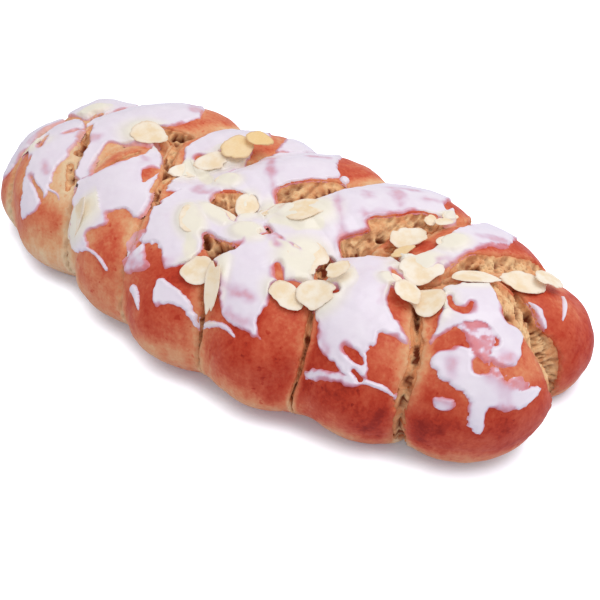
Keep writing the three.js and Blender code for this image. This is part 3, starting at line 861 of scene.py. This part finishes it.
BARE_STROKES = [
    [118, -19, 0.9, 122, -24, 1.3, 128, -23, 1.3, 128, -18, 0.7],
    [92, -62, 0.9, 97, -63, 2.1, 101, -64, 0.8], [100, -68, 0.5, 104, -69, 0.7],
    [101, -57, 0.5, 104, -57, 0.6], [42, -44, 0.8, 46, -48, 1.5, 50, -51, 0.8],
    [71, -44, 0.5, 74, -42, 0.6], [1, -9, 0.8, 3, -12, 1.7, 5, -15, 0.9],
    [-39, 9, 1.2, -40, 14, 1.2, -38, 17, 0.7], [-47, 4, 1.8, -44, 4, 2.2, -44, 1, 0.9],
    [21, -24, 0.7, 25, -27, 1.4, 24, -31, 0.7], [88, -15, 0.7, 91, -18, 1.4, 94, -22, 0.8],
    [94, -28, 0.7, 97, -34, 1, 103, -40, 0.7], [-131, -45, 0.8, -129, -50, 0.9],
    [-127, -22, 0.6, -121, -12, 0.8], [-121, -55, 0.4, -109, -60, 1, -104, -63, 1],
    [88, 18, 0.8, 93, 26, 1.2, 97, 34, 0.8],
]
FILMS = [  # patches where nearly all of the icing ran off again
    [126, -32, 130, -26, 138, -23, 146, -27, 148, -38, 140, -39, 132, -36],
    [150, -37, 157, -36, 163, -31, 166, -36, 158, -44, 150, -42],
    [-36, -62, -30, -58, -26, -64, -30, -70, -36, -69],
    [118, 38, 123, 42, 125, 36, 121, 30, 117, 31],
    [-100, 2, -94, 6, -90, 0, -96, -4],
    [-146, -30, -141, -32, -138, -42, -142, -46, -147, -40],
]
SUNK_SLICES = [  # slices wholly under the icing, which only tint it
    [-19, -36, 2.6, -8, -49, 3, 2, -60, 2.6], [22, -18, 4, 34, -14, 5, 42, -10, 4],
    [34, -34, 3, 46, -30, 5, 56, -30, 5], [50, -38, 4, 57, -44, 4],
    [-46, -4, 3, -38, -3, 3.5, -28, -10, 3], [92, -10, 4, 98, -6, 4], [-140, 12, 3, -134, 20, 2.4],
]
THIN_STROKES = [  # creases and smears where the crust shines through; those low on L3 also paint lavender shade
    [134, -46, 1.6, 136, -50, 1.6], [150, -43, 1.6, 157, -42, 2, 160, -45, 1.4],
    [152, -30, 1.6, 150, -34, 1.6], [136, -59, 2, 142, -58, 2], [-27, -19, 3.2, -22, -20, 3],
    [-11, 24, 2, -5, 14, 2, 0, 8, 1.8, 6, 2, 1.4],
    [36, 18, 1, 44, 6, 1.2, 50, -1, 1.6, 54, -7, 2.2, 56, -12, 1.8],
    [59, 40, 3, 64, 31, 3.6, 68, 25, 2], [48, 26, 3, 53, 21, 2.4], [66, 17, 2, 58, 9, 1.6],
    [54, 38, 2, 64, 46, 3], [111, 30, 1.8, 115, 36, 3, 119, 40, 2], [103, 2, 1.2, 106, 6, 1.2],
    [27, -65, 2, 34, -66, 3, 41, -65, 3], [36, -74, 3, 46, -75, 3], [76, -59, 1, 86, -66, 1.6],
    [91, -30, 1.4, 93, -37, 1.6], [-30, -72, 2, -20, -73, 2.4, -14, -72, 2], [-8, -69, 1, -5, -70, 1],
    [-108, -20, 2.4, -104, -17, 2], [-69, -17, 1.4, -65, -19, 1.4], [-88, 46, 4, -82, 40, 4],
    [-118, -46, 2.5, -112, -50, 2.5], [-143, -6, 2, -150, -30, 3], [74, 42, 2, 80, 46, 2],
    [40, 44, 2, 44, 52, 3], [2, 40, 1, 10, 46, 2], [31, -31, 1, 35, -34, 1.2],
]
print(len(PUDDLES), "puddles and", len(STRINGS), "strings")

# %% Icing as a closed sheet
ICING_ROUNDING = 2.3  # mm over which the icing bridges a seam
ICING_THICK = 1.0
ICING_ROOT = 0.6  # how deep its edge is set into the crust
ICING_WAVE = (0.16, 5, 2, 65)
EDGE_BEAD = (0.22, 1.7, 1.1)  # mm: its height, how far inside the edge it lies, its width
EDGE_COARSE = (0.8, 6, 1, 61)
EDGE_FINE = (0.9, 2.2, 1, 62)
TEAR_CLEAR = 0.35  # bare crust left between icing and tear
ICING_DEEP = 3.2  # mm more from a soft edge than from a sharp one to its full thickness
SHARP_EDGE = 0.9
UNDERCUT = (0.1, 0.4)  # icing stops where the wall turns under this much
UNDERCUT_LOSS = 6
FILM_RAGGED = (3, 5, 3, 63)
THIN_RAGGED = (1.8, 6, 2, 67)
CREAM_RAGGED = (1.2, 6, 2, 69)
COVER_UNEVEN = (0.16, 8, 3, 68)
SMEARS = (1, 3.5, 3, 64)
ICING_BED = 0.4  # mm that its lower side lies under its root
ICED_FROM = -0.8
ALMOND_REACH = 8  # mm above and below a slice where the icing feels it
ICING_LOWEST = 9  # mm above the tray that no icing ran below
FILM_THIN = 0.7  # share of the thickness that ran off a film again
THIN_SHARE = 0.5
STRING_RAGGED = 0.3  # share of the raggedness that the fine strings have
ALMOND_FILLET = 1.3  # how high the icing climbs against a slice
ICING_SPLIT = 12  # x in mm where the sheet is parted into two pieces

almond_frames = {}
for name in slice_nodes:
    corners = np.array([v.co[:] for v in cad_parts[name].data.vertices]) / METRES - shift
    _, _, axes = np.linalg.svd(corners - corners.mean(0), full_matrices=False)
    axes[2] *= np.sign(axes[2, 2]) or 1
    axes[1] = np.cross(axes[2], axes[0])
    spread = np.abs((corners - corners.mean(0)) @ axes.T).max(0)
    almond_frames[name] = (corners.mean(0), axes, spread)


def drawn(loops=(), strokes=()):
    """Millimetres inside shapes drawn on the fine skin."""
    return union(fine_raw, fine_normal, loops, strokes)


ragged = clouds(fine_raw, *EDGE_COARSE) + clouds(fine_raw, *EDGE_FINE)
strings = drawn(strokes=STRINGS) + STRING_RAGGED * ragged
depth = np.maximum(drawn(PUDDLES.values()) + ragged, strings)
depth = np.minimum(depth, -(drawn(BARE_LOOPS, BARE_STROKES) + 0.5 * ragged))
film = drawn(FILMS) + clouds(fine_raw, *FILM_RAGGED) - 0.6
film_only = ease(film - depth, 0, 1)
depth = np.maximum(depth, np.minimum(film, 1.4))
depth = np.minimum(depth, -fine_tear - TEAR_CLEAR)
depth = depth - UNDERCUT_LOSS * ease(-fine_normal[:, 2], *UNDERCUT)
depth = np.minimum(depth, fine_raw[:, 2] - ICING_LOWEST)
bridge = ease(depth, -0.4, 2.6)[:, None]
icing_base = fine_raw + (skin(fine_grid, ICING_ROUNDING) - fine_raw) * bridge
wave = clouds(fine_raw, *ICING_WAVE)
bead_height, bead_place, bead_width = EDGE_BEAD
bead = bead_height * np.exp(-((depth - bead_place) / bead_width) ** 2)
rise = (ICING_THICK * (1 - FILM_THIN * film_only) + ICING_ROOT) * ease(depth, -0.7, 1.5)
rise = rise - ICING_ROOT
rise = rise + (wave + bead) * ease(depth, 0, 2)
thin = ease(drawn(strokes=THIN_STROKES) + clouds(fine_raw, *THIN_RAGGED), -4, 2.5)
soft_edge = SHARP_EDGE + ICING_DEEP * ease(cloud(fine_raw, 10, 66), -0.3, 0.5)
thickness = np.maximum(ease(depth / soft_edge, -0.15, 1), 0.85 * ease(strings, -0.2, 0.8))
thickness = thickness * (1 - THIN_SHARE * thin)
smear = 0.1 + 0.7 * ease(clouds(fine_raw, *SMEARS), 0, 0.8)
thickness = thickness + (smear - thickness) * film_only
thickness = np.clip(thickness + clouds(fine_raw, *COVER_UNEVEN), 0, 1)
cream = ease(drawn(strokes=SUNK_SLICES) + clouds(fine_raw, *CREAM_RAGGED), -2, 1.5)
for centre, axes, spread in almond_frames.values():
    local = (fine_raw - centre) @ axes.T
    beside = np.hypot(local[:, 0] / spread[0], local[:, 1] / spread[1])
    close = np.abs(local[:, 2]) < ALMOND_REACH
    cream = np.maximum(cream, close * ease(-beside, -2.2, -0.8))
    rise = rise + ALMOND_FILLET * close * ease(-beside, -1.6, -0.95) * ease(depth, 0.5, 3)
icing_top = icing_base + (fine_relief + rise)[:, None] * fine_normal
icing_bottom = fine_raw + (fine_relief - ICING_ROOT - ICING_BED)[:, None] * fine_normal
iced = depth > ICED_FROM
icing_faces = fine_grid["triangles"][iced[fine_grid["triangles"]].all(1)]
icing_normal = outward(icing_top, icing_faces)
fine_bake_and_light = bake(fine_raw, fine_seam, fine_tear)
beyond = icing_top[icing_faces, 0].mean(1) < ICING_SPLIT
sugar_icing = []
for name, faces in (("sugar_icing_near", icing_faces[~beyond]),
                    ("sugar_icing_far", icing_faces[beyond])):
    used, points, triangles = closed_sheet(icing_top, icing_bottom, faces)
    numbers = {"thickness": thickness, "cream": cream, "bake": fine_bake_and_light}
    piece = make_piece(name, points, triangles,
                       {key: np.tile(values[used], 2) for key, values in numbers.items()})
    piece.data.normals_split_custom_set_from_vertices(
        np.vstack([icing_normal[used], -icing_normal[used]]))
    sugar_icing.append(piece)
print("icing covers", round(100 * iced.mean()), "% of the skin")

# %% [markdown]
# ## The sliced almonds
# Each slice is a thin oval cut across the grain of a blanched almond: pointed at one end,
# nibbled at the rim, a little bent, and browner at the edge. One shape could be
# instanced, but no two slices match, so each is made again in its own frame, which is
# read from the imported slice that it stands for.

# %% One almond slice
SLICE_RINGS = 9
SLICE_SPOKES = 44
SLICE_HALF_THICK = 0.42
SLICE_TAPER = 0.2
SLICE_BEND = 0.05
NIBBLES = ((0.09, 1.7, 71), (0.05, 5, 72), (0.02, 13, 76))  # share, fineness and seed
BITE = 0.22  # share of the radius that is broken off in places
RIM_SHARE = 0.9  # share of the radius where the rim starts to round off


def almond_slice(length, width, seed):
    """Half sizes along and across, in mm: rings of an egg-shaped outline with a nibbled
    edge, above and below, bent along the grain and joined by a rounded rim."""
    angle = np.linspace(0, 2 * np.pi, SLICE_SPOKES, endpoint=False)
    ring = np.sin(np.linspace(0, np.pi / 2, SLICE_RINGS + 1)[1:])
    around = np.column_stack([np.cos(angle), np.sin(angle), 0 * angle])
    nibble = 1
    for share, fineness, pattern in NIBBLES:
        nibble = nibble + share * cloud(around * fineness + seed, 1, pattern)
    nibble = nibble - BITE * ease(cloud(around * 1.3 + seed, 1, 73), 0.2, 0.7)
    u = ring[:, None] * length * np.cos(angle) * nibble
    v = ring[:, None] * width * np.sin(angle) * (1 - SLICE_TAPER * np.cos(angle)) * nibble
    over_rim = ((ring - RIM_SHARE) / (1 - RIM_SHARE)).clip(0, 1)
    round_rim = np.sqrt(np.maximum(1 - over_rim ** 2, 0))
    flat = np.stack([u, v, 0 * u], -1)
    grain = 0.07 * cloud(flat * [0.25, 1.6, 1] + seed * 9, 1, 74)
    grain = grain + 0.12 * cloud(flat + seed, 4, 75)
    bend = SLICE_BEND * (np.cos(seed * 5) * u * u - np.sin(seed * 3) * v * v) / length * 2.5
    top = bend + (SLICE_HALF_THICK + grain) * round_rim[:, None]
    low = bend - (SLICE_HALF_THICK - grain * 0.3) * round_rim[:, None]
    upper = np.stack([u, v, top], -1).reshape(-1, 3)
    lower = np.stack([u, v, low], -1)[:-1].reshape(-1, 3)
    points = np.vstack([upper, lower, [[0, 0, SLICE_HALF_THICK], [0, 0, -SLICE_HALF_THICK]]])
    numbers = np.arange(SLICE_RINGS * SLICE_SPOKES).reshape(SLICE_RINGS, -1)
    under = numbers + numbers.size
    under[-1] = numbers[-1]
    faces = []
    for rows, centre, way in ((numbers, len(points) - 2, 1), (under, len(points) - 1, -1)):
        a, b = rows[:-1], rows[1:]
        c, d = np.roll(b, -1, axis=1), np.roll(a, -1, axis=1)
        fan = (np.full(SLICE_SPOKES, centre), rows[0], np.roll(rows[0], -1))
        part = [np.stack(three, -1).reshape(-1, 3) for three in ((a, b, c), (a, c, d), fan)]
        faces.append(np.vstack(part)[:, ::way])
    rim = [np.repeat(ring, SLICE_SPOKES), np.repeat(ring[:-1], SLICE_SPOKES), [0, 0]]
    return points, np.vstack(faces), np.concatenate(rim)


# %% All slices
SLICE_LARGER = 1.08  # nibbled rims lose what this adds
SLICE_SINK = 0.45  # mm that a slice sank into the wet icing
SUNKEN = {12: -0.3, 15: 1.0}  # and how much deeper some did
LARGER_STILL = {11: 1.12, 12: 1.12}
SLICE_SAG = 0.55  # share by which a slice gave way to the dough below
SAG_LIMITS = (-2.5, 1.2)
TOASTED = (8, 9, 25)  # slices that browned
TOAST_ELSEWHERE = 0.35
SEED_STEP = 0.37

almond_leaves = []
for number, (name, (centre, axes, spread)) in enumerate(almond_frames.items(), 1):
    larger = SLICE_LARGER * LARGER_STILL.get(number, 1)
    local, faces, rim = almond_slice(*(spread[:2] * larger), number * SEED_STEP)
    toast = 0.5 + 0.5 * cell_number(np.array([number, 3, 1]), 77)
    toast = toast * (1.0 if number in TOASTED else TOAST_ELSEWHERE)
    laid = centre + local @ axes
    below = leave_all(laid * [1, 1, 0], np.tile([0.0, 0.0, 1.0], (len(laid), 1)))
    resting = melt(below, ICING_ROUNDING)
    sag = (resting - np.median(resting)) - (laid[:, 2] - np.median(laid[:, 2]))
    laid[:, 2] += SLICE_SAG * np.clip(sag, *SAG_LIMITS) - SLICE_SINK - SUNKEN.get(number, 0)
    almond_leaves.append(make_piece(
        name.replace("slice", "leaf"), laid, faces,
        {"rim": rim, "toast": np.full(len(rim), toast)},
        [name]))

# %% [markdown]
# ## The finishes
# Four finishes: browned crust, open crumb, dried icing and blanched almond. Painted image
# textures could hold more detail; here colours come from what was measured on the shape
# (bake with its partly painted foot light, nearness of a tear, thickness of the icing,
# painted shade in the crumb), broken up by noise in the object's own coordinates. What two
# finishes share is a node group.

# %% Helpers for shader nodes
def linear(*tone):
    """A colour given in the usual 0 to 255 steps, as light: ((c + 0.055) / 1.055)^2.4."""
    tone = np.array(tone) / 255
    return (*np.where(tone < 0.04045, tone / 12.92, ((tone + 0.055) / 1.055) ** 2.4), 1)


def feed(tree, socket, value):
    """Links another node's output to the socket, or sets the socket to a value."""
    if isinstance(value, bpy.types.NodeSocket):
        tree.links.new(value, socket)
    else:
        socket.default_value = value


def add(tree, kind, inputs=None, **settings):
    """A node with its settings, and its inputs linked or set."""
    node = tree.nodes.new("ShaderNode" + kind)
    for key, value in settings.items():
        setattr(node, key, value)
    for key, value in (inputs or {}).items():
        feed(tree, node.inputs[key], value)
    return node


def measured(tree, name):
    """The number that every point of the mesh carries under this name."""
    return add(tree, "Attribute", attribute_name=name).outputs["Fac"]


def between(tree, value, low, high, start=0.0, end=1.0):
    """A value moved from the range low..high to start..end, smoothly and clamped."""
    node = add(tree, "MapRange", {0: value, 1: low, 2: high, 3: start, 4: end},
               interpolation_type="SMOOTHSTEP")
    return node.outputs[0]


def blend(tree, share, first, second):
    """Two colours, linked or given in 0 to 255 steps, mixed by a share."""
    first, second = (linear(*c) if isinstance(c, tuple) else c for c in (first, second))
    return add(tree, "Mix", {0: share, 6: first, 7: second}, data_type="RGBA").outputs[2]


def reckon(tree, kind, *values):
    """One sum on two or three values."""
    return add(tree, "Math", dict(enumerate(values)), operation=kind).outputs[0]


def noise(tree, size, detail=3.0, roughness=0.55, stretch=None):
    """Noise with blobs of about `size` millimetres in the object's coordinates."""
    place = add(tree, "TexCoord").outputs["Object"]
    if stretch:
        place = add(tree, "Mapping", {"Vector": place, "Scale": stretch}).outputs[0]
    scale = 1 / (size * METRES)
    return add(tree, "TexNoise", {"Vector": place, "Scale": scale, "Detail": detail,
                                  "Roughness": roughness}).outputs[0]


# %% Colours of the bake, shared by the crust and by thin icing over it
BAKE_TONES = [(0.0, (240, 208, 168)), (0.25, (234, 174, 128)), (0.45, (226, 134, 94)),
              (0.65, (210, 92, 62)), (0.85, (190, 58, 34)), (1.0, (154, 36, 20))]

dough_bake = bpy.data.node_groups.new("dough_bake", "ShaderNodeTree")
for label, kind in (("Color", "Color"), ("Mottle", "Float")):
    dough_bake.interface.new_socket(label, in_out="OUTPUT", socket_type="NodeSocket" + kind)
mottle = noise(dough_bake, 9, 5, 0.62)
tone = measured(dough_bake, "bake")
for values, strength in ((mottle, 0.5), (noise(dough_bake, 20, 2, 0.5), 0.4),
                         (noise(dough_bake, 1.6, 2, 0.5), 0.26),
                         (noise(dough_bake, 3.2, 3, 0.6, (1, 1, 0.35)), 0.3)):
    uneven = reckon(dough_bake, "MULTIPLY_ADD", values, strength, -strength / 2)
    tone = reckon(dough_bake, "ADD", tone, uneven)
specks = between(dough_bake, noise(dough_bake, 4, 2, 0.5), 0.66, 0.74, 0, 0.16)
tone = reckon(dough_bake, "ADD", tone, specks)
ramp = add(dough_bake, "ValToRGB", {0: tone})
while len(ramp.color_ramp.elements) < len(BAKE_TONES):
    ramp.color_ramp.elements.new(0.5)
for stop, (place, colour) in zip(ramp.color_ramp.elements, BAKE_TONES):
    stop.position = place
    stop.color = linear(*colour)
end_node = dough_bake.nodes.new("NodeGroupOutput")
dough_bake.links.new(ramp.outputs[0], end_node.inputs[0])
dough_bake.links.new(mottle, end_node.inputs[1])


# %% The four finishes
TORN_EDGE = (190, 104, 56)
CRUMB_DARKER, CRUMB_LIGHTER = (246, 182, 126), (255, 228, 180)
# The last crumb colour is painted shade for pores, gaps, holes, crack middles and the lower edge.
CRUMB_PATCH, CRUMB_BROWNED, CRUMB_SHADE_COLOUR = (222, 134, 82), (220, 124, 74), (128, 56, 28)
SUGAR_DARKER, SUGAR_LIGHTER = (234, 219, 236), (248, 241, 249)
SUGAR_CREAM, SHEER_AND_SHADE_TINT, SUGAR_SOAKED = (247, 240, 218), (224, 194, 216), (226, 142, 168)
ALMOND_DARKER, ALMOND_LIGHTER = (246, 226, 196), (255, 249, 238)
TOAST_LIGHTER, TOAST_DARKER = (250, 218, 150), (238, 190, 118)
ALMOND_FROST, ALMOND_RIM = (252, 247, 246), (206, 158, 100)


def new_finish(name):
    """A material with its own Principled shader, ready to be wired."""
    material = bpy.data.materials.new(name)
    material.use_nodes = True
    shader = material.node_tree.nodes["Principled BSDF"]
    return material, material.node_tree, shader


def wire(tree, shader, **sockets):
    """Links or sets inputs of the shader, with _ for the spaces in their names."""
    for key, value in sockets.items():
        feed(tree, shader.inputs[key.replace("_", " ")], value)


def bumped(tree, height, distance, strength=1.0):
    """A normal bent by a height given in shares of `distance` millimetres."""
    return add(tree, "Bump", {"Height": height, "Distance": distance * METRES,
                              "Strength": strength}).outputs[0]


crust, tree, shader = new_finish("browned_crust")
baked = add(tree, "Group", node_tree=dough_bake)
torn_edge = between(tree, measured(tree, "tear"), -0.5, 0.6)
colour = blend(tree, torn_edge, baked.outputs[0], TORN_EDGE)
pits = noise(tree, 2.2, 4, 0.6)
wire(tree, shader, Base_Color=colour, Coat_Weight=0.08, Coat_Roughness=0.25, Coat_IOR=1.4,
     Roughness=between(tree, baked.outputs[1], 0.3, 0.7, 0.42, 0.6),
     Specular_IOR_Level=0.16, Normal=bumped(tree, pits, 0.25, 0.8))

crumb, tree, shader = new_finish("open_crumb")
grain = noise(tree, 1.2, 4, 0.6)
patchy = noise(tree, 7, 3, 0.6)
colour = blend(tree, grain, CRUMB_DARKER, CRUMB_LIGHTER)
colour = blend(tree, between(tree, patchy, 0.4, 0.65, 0, 0.6), colour, CRUMB_PATCH)
brown = between(tree, measured(tree, "tear"), 1.8, -0.2)
colour = blend(tree, reckon(tree, "MULTIPLY", brown, 0.6), colour, CRUMB_BROWNED)
# Painted shade from the mesh darkens the crumb in pores, gaps, holes, crack middles and along the lower
# edge.
colour = blend(tree, measured(tree, "hollow"), colour, CRUMB_SHADE_COLOUR)
wire(tree, shader, Base_Color=colour, Roughness=between(tree, grain, 0.2, 0.8, 0.7, 0.9),
     Specular_IOR_Level=0.2, Normal=bumped(tree, grain, 0.4, 0.9))

icing, tree, shader = new_finish("sugar_glaze")
baked = add(tree, "Group", node_tree=dough_bake)
cloudy = noise(tree, 12, 4, 0.6)
white = blend(tree, cloudy, SUGAR_DARKER, SUGAR_LIGHTER)
creamy = reckon(tree, "MULTIPLY", measured(tree, "cream"), 0.85)
white = blend(tree, creamy, white, SUGAR_CREAM)
# Thin icing turns lavender: partly its real sheerness over the crust, partly painted shade where thin
# strokes lie low on the left flank.
sheer_and_shade = between(tree, measured(tree, "thickness"), 0.95, 0.4)
white = blend(tree, sheer_and_shade, white, SHEER_AND_SHADE_TINT)
streak = reckon(tree, "MULTIPLY_ADD", noise(tree, 4, 3, 0.6), 0.5, -0.25)
cover = reckon(tree, "ADD", measured(tree, "thickness"), streak)
cover = between(tree, cover, 0.0, 0.7)
under_glaze = blend(tree, 0.5, baked.outputs[0], SUGAR_SOAKED)
colour = blend(tree, cover, under_glaze, white)
wire(tree, shader, Base_Color=colour, Roughness=between(tree, cloudy, 0.3, 0.7, 0.3, 0.45),
     Coat_Weight=0.2, Coat_Roughness=0.2, Coat_IOR=1.4,
     Normal=bumped(tree, noise(tree, 3.5, 3, 0.55), 0.18, 0.5))

almond, tree, shader = new_finish("blanched_almond")
grain = noise(tree, 1.1, 3, 0.6)
patchy = between(tree, noise(tree, 8, 3), 0.35, 0.65)
pale = blend(tree, patchy, ALMOND_DARKER, ALMOND_LIGHTER)
gold = blend(tree, grain, TOAST_LIGHTER, TOAST_DARKER)
toasted, rim = measured(tree, "toast"), measured(tree, "rim")
colour = blend(tree, toasted, pale, gold)
frosted = between(tree, rim, 0.6, 1.0, 0, 0.35)
frosted = reckon(tree, "MULTIPLY", frosted, reckon(tree, "SUBTRACT", 1.0, toasted))
colour = blend(tree, frosted, colour, ALMOND_FROST)
uneven_rim = between(tree, noise(tree, 6), 0.5, 0.62, 0, 0.45)
uneven_rim = reckon(tree, "MAXIMUM", uneven_rim, reckon(tree, "MULTIPLY", toasted, 0.6))
edge = reckon(tree, "MULTIPLY", between(tree, rim, 0.82, 1.0), uneven_rim)
colour = blend(tree, edge, colour, ALMOND_RIM)
wire(tree, shader, Base_Color=colour, Roughness=between(tree, grain, 0.2, 0.8, 0.45, 0.65),
     Normal=bumped(tree, grain, 0.12, 0.6))

for pieces, finish in (([loaf_crust], crust), ([torn_crumb], crumb), (sugar_icing, icing),
                       (almond_leaves, almond)):
    for piece in pieces:
        piece.data.materials.append(finish)

# %% [markdown]
# ## A small studio
# Food for a price list is shot on a white table with a lot of soft light, so that shadows
# nearly vanish. A lamp dome or a sky texture would work; a white world, one big soft
# lamp and a bright floor are easier to steer. The floor glows for the camera alone, and
# less where the loaf hides the sky, which paints its tight contact shadow.

# %% Floor, lights and camera
VIEW_AZIMUTH = 35
VIEW_ELEVATION = 45
VIEW_DISTANCE = 404
VIEW_TARGET = (29.5, -7.6, 0)
LENS = 43.2
SENSOR = 36
FLOOR_HALF = 3.0
FLOOR_CORNERS = ((-1, -1), (1, -1), (1, 1), (-1, 1))
SHADOW_REACH = 0.016  # metres from the loaf where the table is as bright as paper
OPENNESS = (0.3, 0.85)  # open share of the sky over the table, and the camera-only glow it gives there, whose fall near the loaf paints the contact shadow
GLOW = (0.05, 0.8)
ROOM_LIGHT = 0.66
LAMP_PLACE = (0.3, 0.25, 0.9)
LAMP_AIM = (0, 0, 0.03)
LAMP_SIZE = 0.7
LAMP_POWER = 3.5

floor_mesh = bpy.data.meshes.new("floor")
corners = [(x * FLOOR_HALF, y * FLOOR_HALF, 0) for x, y in FLOOR_CORNERS]
floor_mesh.from_pydata(corners, [], [(0, 1, 2, 3)])
floor = place_object("floor", floor_mesh)
floor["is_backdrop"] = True
table, tree, shader = new_finish("white_table")
# Painted contact shadow: the table's camera-only glow fades where the loaf hides the sky.
near = add(tree, "AmbientOcclusion", {"Distance": SHADOW_REACH}, samples=16).outputs["AO"]
glow_with_painted_shadow = between(tree, near, *OPENNESS, *GLOW)
seen = add(tree, "LightPath").outputs[0]
wire(tree, shader, Base_Color=linear(228, 234, 252), Roughness=0.9,
     Emission_Color=linear(255, 255, 255),
     Emission_Strength=reckon(tree, "MULTIPLY", seen, glow_with_painted_shadow))
floor_mesh.materials.append(table)

world = bpy.data.worlds.new("white_room")
world.use_nodes = True
background = world.node_tree.nodes["Background"]
background.inputs["Color"].default_value = (1, 1, 1, 1)
background.inputs["Strength"].default_value = ROOM_LIGHT
bpy.context.scene.world = world

azimuth, elevation = np.radians(VIEW_AZIMUTH), np.radians(VIEW_ELEVATION)
target = Vector((np.array(VIEW_TARGET) + shift) * METRES)
back = Vector((np.sin(azimuth) * np.cos(elevation), -np.cos(azimuth) * np.cos(elevation),
               np.sin(elevation)))
lens = bpy.data.cameras.new("camera")
lens.lens = LENS
lens.sensor_width = SENSOR
camera = place_object("camera", lens)
camera.location = target + back * (VIEW_DISTANCE * METRES)
camera.rotation_euler = back.to_track_quat("Z", "Y").to_euler()
bpy.context.scene.camera = camera

lamp = bpy.data.lights.new("window", "AREA")
lamp.size = LAMP_SIZE
lamp.energy = LAMP_POWER
window = place_object("window", lamp)
window.location = LAMP_PLACE
aim = Vector(LAMP_AIM) - Vector(LAMP_PLACE)
window.rotation_euler = aim.to_track_quat("-Z", "Y").to_euler()
bpy.context.scene.view_settings.view_transform = "Standard"
bpy.context.scene.view_settings.look = "None"

# %% Print the sizes and finish
visual_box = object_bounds()
boxes = {"cad": [list(corner) for corner in cad_box],
         "visual": [list(corner) for corner in visual_box]}
for key, (low, high) in boxes.items():
    print(key, "low", np.round(low, 4), "high", np.round(high, 4))
